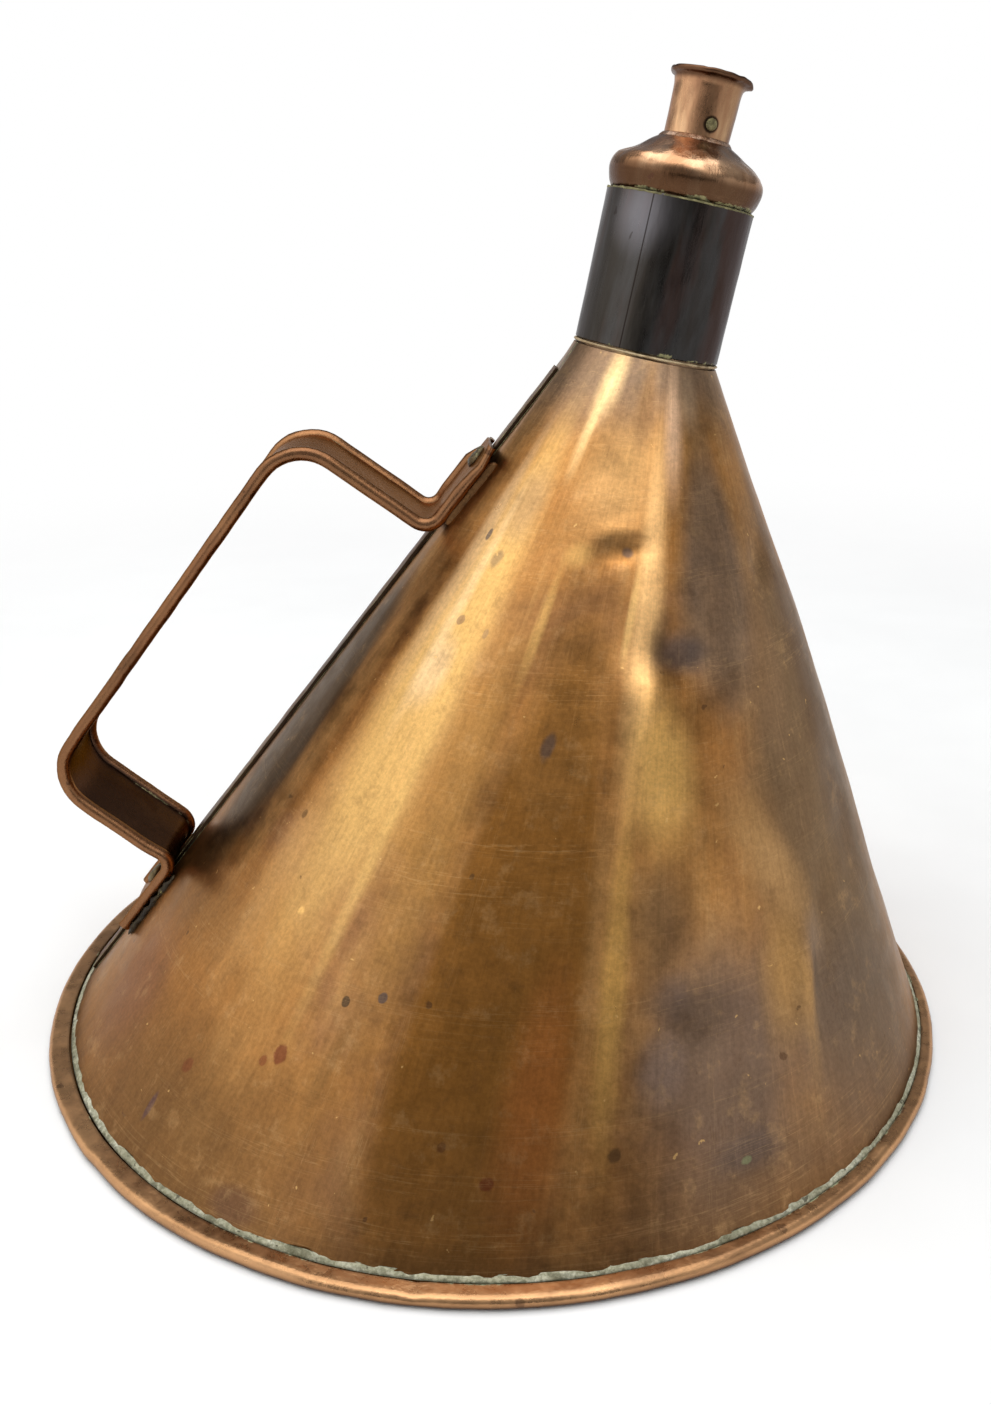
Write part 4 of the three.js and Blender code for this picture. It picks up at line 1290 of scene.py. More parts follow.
# %% Table of the bulge and the dents
# Angle, height, depth, half width, half height, lean
DENTS = [
    (85, 88, -1.35, 62, 42, 0.0),
    (20, 100, 1.7, 9, 7, -0.5),
    (12, 92, -0.6, 4, 12, 0.2),
    (1, 119.5, 1.0, 3.2, 1.8, 0.9),
    (-1, 123, -0.5, 5, 2.2, 0.6),
    (54, 114, 0.9, 4, 5, 0.2),
    (8, 62, -0.35, 3.2, 38, 0.04),
    (14, 62, 0.7, 7, 26, 0.1),
    (41, 36, -1.2, 2.8, 14, 0.25),
    (47, 40, 0.9, 6, 20, 0.3),
    (-76, 41, -0.35, 9, 2.2, 0.9),
    (-66, 47, 0.3, 8, 2.4, 0.9),
    (33, 44, 0.8, 9, 14, 0.1),
    (21, 43, 0.9, 7, 7, 0.0),
    (28, 16, 0.8, 8, 6, 0.0),
    (34, 78, 0.9, 12, 12, -0.4),
    (26, 84, -0.6, 8, 9, -0.4),
    (-26, 140, -0.4, 4, 22, 0.1),
    (-64, 50, 0.6, 16, 8, 0.3),
    (-48, 24, 0.4, 14, 10, 0.0),
    (62, 58, 0.8, 12, 20, 0.3),
    (54, 84, 0.6, 10, 10, -0.2),
    (110, 70, 0.8, 22, 24, 0.0),
    (150, 60, 0.9, 18, 20, 0.1),
    (-150, 70, 0.7, 20, 28, 0.0),
    (178, 110, 0.6, 10, 12, 0.0),
    (-120, 40, 0.6, 16, 14, 0.0),
]
print("dents and ridges:", len(DENTS))

# %% Carry the corners to their places and push the dents in
places = corners(cone)
share = np.clip(places[:, 2] / ROUGH_HEIGHT, 0, 1)
turn_angle = np.arctan2(places[:, 1], places[:, 0])
front_angle = np.degrees(np.arctan2(np.cos(turn_angle), -np.sin(turn_angle)))
at = on_cone(turn_angle, share)
step_round = on_cone(turn_angle + 1e-4, share) - at
step_up = on_cone(turn_angle, share + 1e-4) - at
outward = np.cross(step_round, step_up)
outward /= np.linalg.norm(outward, axis=1)[:, None]
girth = FOOT_RADIUS + (MOUTH_RADIUS - FOOT_RADIUS) * share
push = np.zeros(len(at))
for angle, height, depth, half_round, half_up, lean in DENTS:
    swing = (front_angle - angle + 180) % 360 - 180
    rise = (at[:, 2] - height) * 1.2
    sideways = np.radians(swing) * girth - lean * rise
    push -= depth * np.exp(-((sideways / half_round) ** 2) - (rise / half_up) ** 2)
push += 0.16 * lumps(at, 24, 3) + 0.07 * lumps(at, 10, 5) + 0.02 * lumps(at, 5, 8)
near_ends = np.clip((at[:, 2] - 2.5) / 9, 0, 1) * np.clip((1 - share) / 0.05, 0, 1)
by_handle = np.clip((np.abs(at[:, 1]) - 14) / 8, 0, 1)
push *= near_ends * np.where(at[:, 0] < FOOT_SHIFT + share * 34, by_handle, 1)
move_corners(cone, at + outward * push[:, None])
print("deepest dent", round(float(-push.min()), 2), "mm, highest bulge", round(float(push.max()), 2), "mm")

# %% [markdown]
# The foot is turned out under the folded base, and the top is drawn in and up as the collar inside the neck.
# Both are extruded from the open edges.

# %% Flange, collar and thickness
take(cone)
lay_out(cone, front_angle, at[:, 2])
bpy.ops.object.mode_set(mode="EDIT")
choose(cone, lambda x, y, z: z < FOOT_HEIGHT + 0.05)
bpy.ops.mesh.extrude_region_move()
spread = (RIM_RADIUS - SHEET - 0.6) / FOOT_RADIUS
bpy.ops.transform.resize(value=(spread, spread, 1), center_override=(FOOT_SHIFT * MM, 0, FOOT_HEIGHT * MM))
choose(cone, lambda x, y, z: abs((neck_frame.inverted() @ Vector((x, y, z))).z - MOUTH_SHOULDER) < 0.02)
bpy.ops.mesh.extrude_region_move()
centre = neck_frame @ Vector((0, 0, MOUTH_SHOULDER)) * MM
draw = COLLAR_RADIUS / MOUTH_RADIUS
bpy.ops.transform.resize(value=(draw, draw, draw), center_override=centre)
climb = neck_frame.to_3x3() @ Vector((0, 0, COLLAR_HEIGHT - MOUTH_SHOULDER)) * MM
bpy.ops.mesh.extrude_region_move(TRANSFORM_OT_translate={"value": climb})
take(cone)
wall = cone.modifiers.new("wall", "SOLIDIFY")
wall.thickness = SHEET * MM
wall.offset = -1
wall.use_even_offset = True
bpy.ops.object.modifier_apply(modifier="wall")
finish(cone, cone_copper, "pot", ["cone_body"], angle=50)

# %% [markdown]
# ## The lap of the seam
# Down the handle side one edge of the sheet lies over the other and stands proud as a narrow lap. It is a
# long flat bar, bevelled along its edges and slightly uneven from the hammer.

# %% Lap
def flat_bar(name, start, end, width, low, high, cuts, bevel):
    rest()
    bpy.ops.mesh.primitive_cube_add(size=1 * MM, location=((start + end) / 2 * MM, 0, (low + high) / 2 * MM))
    piece = named(name)
    piece.scale = (end - start, width, high - low)
    bpy.ops.object.transform_apply(location=True, scale=True)
    bpy.ops.object.mode_set(mode="EDIT")
    choose_long_edges(piece, 0, (end - start) / 2)
    bpy.ops.mesh.bevel(offset=bevel * MM, segments=2)
    choose_long_edges(piece, 0, (end - start) / 2)
    bpy.ops.mesh.subdivide(number_cuts=cuts)
    bpy.ops.mesh.select_mode(type="VERT")
    rest()
    return piece


lap_start = (5.2 - FOOT_HEIGHT) / math.sin(side_slope)
lap = flat_bar(
    "seam_lap", lap_start, throat_station, SEAM_WIDTH, low=-0.5, high=SEAM_PROUD, cuts=90, bevel=0.18,
)
places = corners(lap)
places[:, 1] += 0.12 * lumps(places * [1, 0, 0], 9, 2) * np.sign(places[:, 1])
places[:, 2] += np.where(places[:, 2] > 0, 0.06 * lumps(places, 6, 4), 0)
move_corners(lap, places)
lay(lap, side_frame)
finish(lap, lap_copper, "pot", angle=30)

# %% [markdown]
# ## The folded base
# The base is a disc whose edge is turned up and folded flat over the flange of the cone. It is turned ring by
# ring from its underside round the rounded fold to the lip, and closed again inside.

# %% Base plate with its folded edge
edge_centre = RIM_RADIUS - RIM_HEIGHT / 2
inner_round = RIM_HEIGHT / 2 - SHEET
fold = [
    (edge_centre + RIM_HEIGHT / 2 * math.cos(step), RIM_HEIGHT / 2 * (1 + math.sin(step)))
    for step in np.linspace(-math.pi / 2, math.pi / 2, 13)
]
inside = [
    (edge_centre + inner_round * math.cos(step), RIM_HEIGHT / 2 + inner_round * math.sin(step))
    for step in np.linspace(math.pi / 2, -math.pi / 2, 5)
]
lip_edge = [
    (LIP_RADIUS + 0.15, RIM_HEIGHT),
    (LIP_RADIUS, RIM_HEIGHT - 0.15),
    (LIP_RADIUS, RIM_HEIGHT - SHEET),
]
section = [*fold, (edge_centre - 0.7, RIM_HEIGHT), *lip_edge, *inside]
base = turn_rings("folded_base", section, 240, filled=True)
places = corners(base)
radius = from_axis(places)
round_edge = np.clip((radius - LIP_RADIUS + 1) / 2, 0, 1)
turn_angle = np.arctan2(places[:, 1], places[:, 0])
off_centre = FOOT_SHIFT * np.sin(turn_angle)
reach = FOOT_SHIFT * np.cos(turn_angle) + np.sqrt((FOOT_RADIUS + 0.35) ** 2 - off_centre**2)
at_lip = (radius < LIP_RADIUS + 0.2) & (places[:, 2] > RIM_HEIGHT - SHEET - 0.01)
drawn = np.where(at_lip, (reach + radius - LIP_RADIUS) / radius, 1)
places[:, :2] *= drawn[:, None]
flat_place = places * [1, 1, 0]
wave = 0.16 * lumps(flat_place, 24, 6) + 0.08 * lumps(flat_place, 7, 7)
grow = 1 - 0.001 - np.abs(wave) * 0.012 * round_edge
upper = np.clip((places[:, 2] - 1) / 2, 0, 1) * round_edge
places[:, :2] *= grow[:, None]
places[:, 2] += upper * 0.9 * (wave - 0.1)
notch = np.exp(-(((angle_from_front(places) + 7.5) / 0.7) ** 2)) * upper
places[:, 2] -= 0.45 * notch
move_corners(base, places)
finish(base, rim_copper, "pot", ["base_plate"], angle=40)

# %% [markdown]
# ## Solder round the foot
# Where the cone meets the folded lip runs a thick line of old solder, pale and crusted. It is a fillet with a
# triangular section, and its lumps are pushed out along its way.

# %% Crusted ring at the foot
FOOT_RING_FACETS = 480
ring_low = RIM_HEIGHT - 0.25
section = smoothed([(103.6, ring_low), (106.0, ring_low), (105.6, 3.2), (104.6, 3.5), (103.3, 3.65)], 3)
crust_ring = turn_rings("foot_solder_ring", [*section, section[0]], FOOT_RING_FACETS)
places = corners(crust_ring)
turn_angle = np.arctan2(places[:, 1], places[:, 0])
radius = from_axis(places)
share = np.clip((places[:, 2] - FOOT_HEIGHT) / 152, 0, 1)
wall_at = on_cone(turn_angle, share)
wall_radius = from_axis(wall_at)
proud = (radius - 103.6) / 2.4
out = wall_radius - 0.3 + np.clip(proud, 0, 1) * 0.8
clump = 0.35 + 0.5 * lumps(places, 4, 11) + 0.45 * lumps(places, 1.5, 12)
ring_angle = angle_from_front(places)
for angle, size in ((-19.5, 1.2), (5.8, 1.2), (-46, 0.8), (27, 0.7)):
    clump += size * np.exp(-(((ring_angle - angle) / 1.6) ** 2))
above = np.clip((places[:, 2] - ring_low) / 1.0, 0, 1)
out += above * 0.26 * clump
places[:, 2] += above * 0.42 * (clump - 0.55)
places[:, 0] = out * np.cos(turn_angle)
places[:, 1] = out * np.sin(turn_angle)
move_corners(crust_ring, places)
finish(crust_ring, foot_solder_finish, "pot", ["base_solder"], angle=60)

# %% [markdown]
# ## The neck
# The neck is a dark tube over the collar of the cone, with a thin proud line of solder under it. The tube is
# turned with softened edges and is very slightly out of true, which makes its reflections waver.

# %% Neck tube and joint ring
neck_rows = [(15.45 - 0.1 * step / 24, 0.75 + (NECK_TOP - 0.95) * step / 24) for step in range(25)]
section = [
    (14.65, 0.55), (15.3, 0.55), *neck_rows, (15.2, NECK_TOP), (14.6, NECK_TOP), (14.6, 15.0), (14.65, 0.55),
]
tube = turn_rings("neck_tube_dark", section, 128)
places = corners(tube)
outer = from_axis(places) > 15.1
waver = 0.05 * lumps(places * [1, 1, 0.3], 9, 21) + 0.02 * lumps(places, 3, 22)
scale = 1 + np.where(outer, waver, 0) / 15
places[:, :2] *= scale[:, None]
move_corners(tube, places)
lay(tube, neck_frame)
finish(tube, dark_tube, "pot", ["neck_tube"])

section = smoothed([(14.7, -0.15), (15.4, -0.2), (15.66, 0.0), (15.66, 0.15), (15.45, 0.32), (14.7, 0.36)], 2)
joint = turn_rings("neck_joint_ring", [*section, section[0]], 160)
places = corners(joint)
scale = 1 + np.where(from_axis(places) > 15.3, 0.08 * lumps(places, 1.6, 23), 0) / 15
places[:, :2] *= scale[:, None]
move_corners(joint, places)
lay(joint, neck_frame)
finish(joint, tan_solder_finish, "pot", ["neck_solder"], angle=60)

# %% [markdown]
# ## The head
# The head is spun from one disc: a skirt that slides into the neck, a rounded bulge that rests on the neck's
# edge, and a shoulder that rises to the spout. The real one leans a degree more than the neck, and its
# shoulder is a little dented.

# %% Head
HEAD_LEAN = math.tan(math.radians(1.0))


def lean_head(places):
    places[:, 0] += HEAD_LEAN * np.maximum(places[:, 2], 0)
    return places


skirt = [(13.45, -14.0), (14.25, -14.0), (14.25, 0.3)]
bulge = smoothed([(14.75, 0.3), (15.4, 1.5), (15.85, 3.2), (15.92, 4.4), (15.6, 5.6), (14.7, 6.9)], 4)
shoulder = smoothed([(14.7, 6.9), (13.2, 8.0), (11.2, 9.2), (9.3, 10.3), (7.8, 11.2), (6.98, 11.7)], 3)
under = [(6.98, 10.7), (8.6, 9.6), (12.0, 7.5), (14.0, 5.9), (14.9, 4.2), (14.4, 2.2), (13.45, 1.0)]
under = smoothed(under, 2)
section = [*skirt, *bulge, *shoulder[1:], *under, (13.45, -14.0)]
head = turn_rings("head_shoulder_sheet", section, 144)
places = corners(head)
angles = angle_from_front(places)
height = places[:, 2]
on_top = np.clip((height - 0.3) / 2, 0, 1) * np.clip((11.2 - height) / 1.5, 0, 1)
dent = 0.13 * lumps(places, 6, 31) + 0.07 * lumps(places, 2.6, 32)
hollow = 0.55 * np.exp(-(((angles + 80) / 45) ** 2) - ((height - 9) / 1.6) ** 2)
places[:, 2] += on_top * (dent - hollow)
places[:, :2] *= (1 + on_top * 0.5 * dent / 14)[:, None]
move_corners(head, lean_head(places))
lay(head, head_frame)
finish(head, head_copper, "head", ["head_shoulder"], angle=45)

# %% [markdown]
# ## The spout
# The spout is a short tube that widens a little. Its lip is turned out and has been bent by many corks, so
# its height and its reach change on the way round.

# %% Spout
outer = [(6.65, 9.1), (6.68, 12), (6.75, 15), (6.85, 19), (6.95, 21.4), (7.3, 22.5), (7.75, 22.98)]
outer = smoothed(outer, 4)
lip = [(8.15, 23.1), (8.4, 23.25), (8.52, 23.55), (8.45, 23.88), (8.2, 24.08), (7.8, 24.12), (7.35, 23.95)]
bore = smoothed([(7.0, 23.55), (6.5, 22.6), (6.15, 21.2), (5.95, 15), (5.85, 9.1)], 3)
spout = turn_rings("spout_with_lip", [*outer, *lip, *bore, outer[0]], 120)
places = corners(spout)
angles = angle_from_front(places)
height = places[:, 2]
radius = from_axis(places)
at_lip = np.clip((height - 21.8) / 1.6, 0, 1) * np.clip((radius - 6.4) / 1.2, 0, 1)
round_place = np.stack([np.sin(np.radians(angles)), np.cos(np.radians(angles)), np.zeros_like(angles)], 1) * 8
bend = 0.32 * lumps(round_place, 5, 41) + 0.16 * lumps(round_place, 2.2, 42)
bend -= 1.0 * np.exp(-(((angles - 80) / 28) ** 2))
bend += 0.1 * np.exp(-(((angles + 85) / 25) ** 2))
places[:, 2] += at_lip * np.minimum(bend, 0.12)
pulled_out = 0.6 * np.exp(-(((angles - 85) / 35) ** 2))
reach = 1 + at_lip * (0.22 * lumps(round_place, 4, 43) - 0.25 + pulled_out) / 8
places[:, :2] *= reach[:, None]
body = np.clip((height - 12) / 4, 0, 1) * (1 - at_lip)
places[:, :2] *= (1 + body * 0.06 * lumps(places, 4, 44) / 7)[:, None]
move_corners(spout, lean_head(places))
lay(spout, head_frame)
finish(spout, spout_copper, "head", ["spout_tube"], angle=40)

# %% [markdown]
# ## The solder band of the spout
# The spout is soldered into the head, and the solder stands out at its foot as a soft ring. A torus would be
# too regular, so the band is turned from a section of its own, and its outer side is made lumpy.

# %% Solder band of the spout
section = smoothed([(6.65, 11.3), (7.5, 11.15), (7.6, 11.4), (7.3, 11.8), (7.0, 12.1), (6.65, 12.2)], 3)
band = turn_rings("spout_solder_band", [*section, section[0]], 120)
places = corners(band)
radius = from_axis(places)
soft = np.clip((radius - 6.85) / 0.5, 0, 1) * 0.12 * lumps(places, 2.4, 51)
places[:, 2] += soft
places[:, :2] *= (1 + soft / 7)[:, None]
move_corners(band, lean_head(places))
lay(band, head_frame)
finish(band, band_solder_finish, "head", ["spout_solder"], angle=60)

# %% [markdown]
# ## The pin of the spout
# A small pin goes through the wall of the spout on its front: a green-grey button, ringed by painted shade on
# the spout.

# %% Pin
pin_turn = Matrix.Rotation(NECK_LEAN, 4, "Z") @ Matrix.Translation((PIN_SIDE, 0, PIN_HEIGHT))
pin_frame = head_frame @ pin_turn @ Matrix.Rotation(math.pi / 2, 4, "X")
section = smoothed([(0.95, 5.4), (1.1, 6.7), (1.16, 6.95), (1.05, 7.2), (0.8, 7.36), (0.4, 7.42)], 3)
pin = turn_rings("spout_pin_button", [(0.85, 4.2), (0.95, 4.2), *section, (0.1, 7.3)], 36, filled=True)
places = corners(pin)
places[:, 2] += np.where(places[:, 2] > 7.0, 0.05 * lumps(places, 0.8, 61), 0)
move_corners(pin, places)
lay(pin, pin_frame)
finish(pin, pin_finish, "head", ["spout_pin"], angle=60)

# %% [markdown]
# ## The strap handle
# The handle is a strap whose long edges are rolled round wires. Its section, a flat web between two beads, is
# laid out once from a circle of corners. It is then carried along the handle as a smith would bend it: each
# straight is extruded in short steps, and each bend is spun round its centre.

# %% Section of the strap
BEAD_SPACING = 22.0
BEAD_RADIUS = 1.5
WEB_LEVEL = 1.4
meet = math.asin(SHEET / 2 / BEAD_RADIUS)
roll = [
    (BEAD_SPACING / 2 + BEAD_RADIUS * math.cos(step), BEAD_RADIUS * math.sin(step))
    for step in np.linspace(-math.pi + meet, math.pi - meet, 17)
]
upper_web = [(side, SHEET / 2) for side in np.linspace(8.6, -8.6, 8)]
half_section = [*roll, *upper_web]
strap_section = np.array([*half_section, *[(-side, -out) for side, out in half_section]])
# Corners of the strap's middle line: station along the cone, height over it, radius of the bend
STRAP_CORNERS = [
    (24.6, WEB_LEVEL, 0.0),
    (46.6, WEB_LEVEL, 4.0),
    (47.4, 36.6, 10.5),
    (146.5, 37.1, 10.5),
    (148.2, WEB_LEVEL, 4.0),
    (169.8, WEB_LEVEL, 0.0),
]
print("corners in the section of the strap:", len(strap_section))

# %% Carry the section along the handle
rest()
bpy.ops.mesh.primitive_circle_add(vertices=len(strap_section), radius=5 * MM, fill_type="NGON")
strap = named("handle_strap_sheet")
start_station = np.full(len(strap_section), STRAP_CORNERS[0][0])
flat = np.column_stack([start_station, strap_section[:, 0], strap_section[:, 1] + WEB_LEVEL])
order = np.argsort(-np.arctan2(*corners(strap)[:, :2].T) % (2 * math.pi))
placed = np.empty_like(flat)
placed[order] = flat
move_corners(strap, placed)
take(strap)
bpy.ops.object.mode_set(mode="EDIT")
bpy.ops.mesh.select_all(action="SELECT")
points = [Vector((station, reach)) for station, reach, _ in STRAP_CORNERS]
headings = [(after - before).normalized() for before, after in zip(points, points[1:])]
here = points[0]
for number in range(1, len(points)):
    heading = headings[number - 1]
    setback = 0.0
    if number + 1 < len(points):
        onward = headings[number]
        turning = math.atan2(heading.x * onward.y - heading.y * onward.x, heading.dot(onward))
        setback = STRAP_CORNERS[number][2] * math.tan(abs(turning) / 2)
    end = points[number] - heading * setback
    straight = end - here
    steps = max(1, round(straight.length / 2.2))
    for _ in range(steps):
        step = straight / steps * MM
        bpy.ops.mesh.extrude_region_move(TRANSFORM_OT_translate={"value": (step.x, 0, step.y)})
    here = end
    if setback:
        side = math.copysign(1, turning)
        middle = end + Vector((-heading.y, heading.x)) * side * STRAP_CORNERS[number][2]
        bpy.ops.mesh.spin(
            steps=10, angle=turning, center=(middle.x * MM, 0, middle.y * MM), axis=(0, 1, 0),
            use_auto_merge=False,
        )
        here = points[number] + onward * setback
rest()
places = corners(strap)
print("strap from", places.min(axis=0).round(2), "to", places.max(axis=0).round(2))

# %% [markdown]
# The side of the strap that faces the cone gets a painted shade. The finish has to
# know that side, so each corner notes how much it faces the middle of the loop. On the feet it is the side
# that lies on the cone.

# %% Inner side of the strap
station, side, out = places.T.copy()
lay_out(strap, side, station)
take(strap)
bpy.ops.object.mode_set(mode="EDIT")
bpy.ops.mesh.select_all(action="SELECT")
bpy.ops.mesh.normals_make_consistent(inside=False)
rest()
facing = np.array([corner.normal for corner in strap.data.vertices])
towards = np.stack([97 - station, 0 * station, 12 - out], axis=1)
towards[out < 3.2] = (0, 0, -1)
towards /= np.linalg.norm(towards, axis=1)[:, None]
within = np.clip((facing * towards).sum(axis=1) * 1.6, 0, 1) * (np.abs(side) < 10.0)
strap.data.attributes.new("inner_face", "FLOAT", "POINT").data.foreach_set("value", within)
print("corners on the inner side:", int((within > 0.5).sum()))

# %% [markdown]
# Use has left its marks on the strap. The near bead of the lower arm is skewed down the side, and the ends of
# the upper foot were hammered flat. Soft lumps over the whole strap stand for the smith's hammer.

# %% Wear of the strap
near = np.clip(-side / 11, 0, 1)
low_arm = np.clip((70 - station) / 20, 0, 1) * np.clip((out - 1) / 8, 0, 1)
places[:, 0] -= 0.7 * near * low_arm
far_tip = np.clip((station - 163) / 5, 0, 1) * np.clip((side - 7.5) / 3, 0, 1)
places[:, 2] -= far_tip * 0.55 * (out - 0.5)
places[:, 1] -= far_tip * 1.6
near_tip = np.clip((station - 160) / 7, 0, 1) * np.clip((-side - 7.5) / 3, 0, 1)
places[:, 2] -= near_tip * 0.4 * (out - 0.6)
places[:, 1] -= near_tip * 0.5
places[:, 0] += near_tip * 1.1
tip_up = np.clip((station - 166) / 3.5, 0, 1) * np.clip((-side - 9) / 2, 0, 1)
places[:, 2] += tip_up * 0.9
places[:, 2] += 0.7 * np.clip((station - 148) / 6, 0, 1) * np.clip((side + 8) / 16, 0, 1) * (1 - far_tip)
on_grip = np.clip((out - 12) / 16, 0, 1)
places[:, 2] += 0.9 * on_grip * np.clip((side + 6) / 14, 0, 1)
places[:, 2] += 0.07 * lumps(places, 7, 71) + 0.05 * lumps(places, 3, 72)
places[:, 1] += 0.1 * lumps(places * [1, 0.1, 1], 13, 73) + 0.05 * lumps(places, 3.5, 74)
places[:, 0] += 0.06 * lumps(places, 6, 75)
move_corners(strap, places)
lay(strap, side_frame)
finish(strap, handle_copper, "pot", ["handle_strap"], angle=40)

# %% [markdown]
# ## Rivets
# One rivet goes through each foot of the handle, the lap and the wall. Its tail is inside the pot. The head
# was closed with a few blows, so it is a mashed dome. It is modelled once and copied with its own mesh.

# %% Rivets
section = [
    (2.1, -2.05), (2.3, -1.9), (2.3, -1.1), (1.45, -1.0), (1.45, 1.95), (2.4, 1.98), (2.62, 2.2), (2.66, 2.5),
    (2.45, 2.9), (1.95, 3.2), (1.3, 3.36), (0.6, 3.42), (0.1, 3.43),
]
low_rivet = turn_rings("lower_rivet_dome", section, 40, filled=True)
plain = corners(low_rivet)
take(low_rivet)
bpy.ops.object.duplicate(linked=False)
high_rivet = named("upper_rivet_dome")


def mash(piece, station, seed, flat, skew):
    places = plain.copy()
    on_head = np.clip((places[:, 2] - 1.9) / 0.8, 0, 1)
    blow = lumps(places, 1.5, seed)
    places[:, 2] += on_head * (0.22 * blow - flat * np.clip(places[:, 0] / 2.6 + 0.3, 0, 1))
    places[:, 0] += on_head * (skew + 0.12 * blow)
    places[:, 1] += on_head * 0.14 * lumps(places, 1.3, seed + 1)
    places[:, 0] += station
    move_corners(piece, places)
    lay(piece, side_frame)


mash(low_rivet, station=34.6, seed=81, flat=0.1, skew=0.0)
mash(high_rivet, station=165.5, seed=85, flat=0.4, skew=0.25)
finish(low_rivet, rivet_finish, "pot", ["lower_rivet"], angle=60)
finish(high_rivet, rivet_finish, "pot", ["upper_rivet"], angle=60)

# %% [markdown]
# ## Solder under the feet
# Both edges of each foot are sealed to the cone with runs of solder. Three are lumpy and black. The run in
# front of the upper foot is smoother and brown, and fills the gap under the rolled edge. A run is a round
# bar cut into short lengths, tapered at its ends, laid on the curve of the cone and pushed into lumps.

# %% Level of the wall beside the seam
def cone_level(station, across):
    """Height of the cone over the flat of the seam, at a station and a distance across, in the side frame."""
    radius = FOOT_RADIUS + (MOUTH_RADIUS - FOOT_RADIUS) * station / side_length
    turn_angle = np.pi - np.arcsin(np.clip(across / radius, -1, 1))
    at = on_cone(turn_angle, station / side_length)
    return (at - np.array(side_foot)) @ side_out


# %% Model a run of solder
def solder_run(name, node, material, start, end, side, width, height, seed, beside=12.9, uneven=1.0):
    rest()
    bpy.ops.mesh.primitive_cylinder_add(
        vertices=20, radius=1 * MM, depth=(end - start) * MM, rotation=(0, math.pi / 2, 0),
        location=((start + end) / 2 * MM, 0, 0),
    )
    piece = named(name)
    bpy.ops.object.transform_apply(location=True, rotation=True)
    bpy.ops.object.mode_set(mode="EDIT")
    choose_long_edges(piece, 0, 1)
    bpy.ops.mesh.subdivide(number_cuts=round((end - start) * 2.2))
    bpy.ops.mesh.select_mode(type="VERT")
    rest()
    places = corners(piece)
    along = (places[:, 0] - start) / (end - start)
    taper = np.sqrt(np.clip(1 - np.abs(2 * along - 1) ** 6, 0.03, 1))
    line = places * [1, 0, 0]
    swell = 0.9 + uneven * (0.45 * lumps(line, 3.2, seed) + 0.3 * lumps(line, 1.3, seed + 1))
    across = side * (beside + places[:, 1] * width * taper * swell)
    rise = places[:, 2] * height * taper * swell
    level = cone_level(places[:, 0], across)
    places[:, 1] = across
    places[:, 2] = level + 0.25 + rise
    places[:, 2] += 0.2 * uneven * lumps(places, 1.1, seed + 2)
    places[:, 1] += 0.15 * uneven * lumps(places, 1.0, seed + 3)
    move_corners(piece, places)
    lay(piece, side_frame)
    finish(piece, material, "pot", [node], angle=60)


# %% The four runs
solder_run(
    "lower_run_front", "lower_solder_front", black_solder_finish,
    start=24.2, end=44.5, side=-1, width=0.95, height=0.75, seed=91,
)
solder_run(
    "lower_run_back", "lower_solder_back", black_solder_finish,
    start=24.6, end=41.0, side=1, width=0.9, height=0.8, seed=95,
)
solder_run(
    "upper_run_front", "upper_solder_front", brown_solder_finish,
    start=151.6, end=168.6, side=-1, width=0.9, height=1.8, seed=99, beside=11.1, uneven=0.25,
)
solder_run(
    "upper_run_back", "upper_solder_back", black_solder_finish,
    start=154.2, end=169.6, side=1, width=0.5, height=0.4, seed=103,
)

# %% [markdown]
# ## Crust at the upper joint
# Where the head rests on the neck, a pale crust has grown on the tube's edge. It stays on the neck when the
# head is lifted, so it rides on the pot. It is thickest on the left of the front.

# %% Crust ring
section = smoothed([(15.0, 30.4), (15.36, 30.34), (15.42, 30.5), (15.34, 30.68), (15.05, 30.72)], 2)
crust = turn_rings("neck_edge_crust", [*section, section[0]], 220)
places = corners(crust)
angles = angle_from_front(places)
thick = 0.15 + 0.75 * np.exp(-(((angles + 55) / 50) ** 2))
swell = thick * (0.16 * lumps(places, 1.8, 111) + 0.1 * lumps(places, 0.8, 112))
outer = from_axis(places) > 15.2
places[:, :2] *= (1 + np.where(outer, swell, 0) / 15)[:, None]
places[:, 2] += np.where(outer, np.minimum(swell, 0.12), 0)
move_corners(crust, places)
lay(crust, neck_frame)
finish(crust, edge_crust_finish, "pot", angle=60)

# %% [markdown]
# ## Pieces kept from the model
# The wires inside the rolled edges keep the shape of the model and only get a finish.

# %% Wires
for name in ("handle_wire_front", "handle_wire_back"):
    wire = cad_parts[name]
    for slot in wire.material_slots:
        slot.material = wire_finish
print("kept:", [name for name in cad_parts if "wire" in name])

# %% [markdown]
# ## Floor
# The still stands on a pale floor that curves up far away into a low wall. Near the still the floor is a
# plain matt surface that takes its shadow. Further out it turns into even white for the camera and for
# reflections, as a well lit studio would look.

# %% Floor
floor = turn_rings(
    "floor_sweep", [(1200, -0.05), (2500, -0.05), (2900, 60), (3120, 260), (3200, 1000)], 96, filled=True,
)
take(floor)
bpy.ops.object.mode_set(mode="EDIT")
choose(floor, lambda x, y, z: z > 990)
bpy.ops.mesh.delete(type="ONLY_FACE")
rest()
material, tree = new_material("pale_floor")
place = stood(tree)
cloud = between(tree, grain(tree, place, 9.0, 3), 0.3, 0.7, 0.9, 0.94)
shade = grey_of(tree, cloud)
matt = put(tree, "BsdfPrincipled", Base_Color=shade, Roughness=0.8)
matt.inputs["Specular IOR Level"].default_value = 0.1
glow = put(tree, "Emission", Color=(1, 1, 1, 1), Strength=1.0)
rays = put(tree, "LightPath").outputs
seen = count(tree, "MAXIMUM", rays["Is Camera Ray"], rays["Is Glossy Ray"])
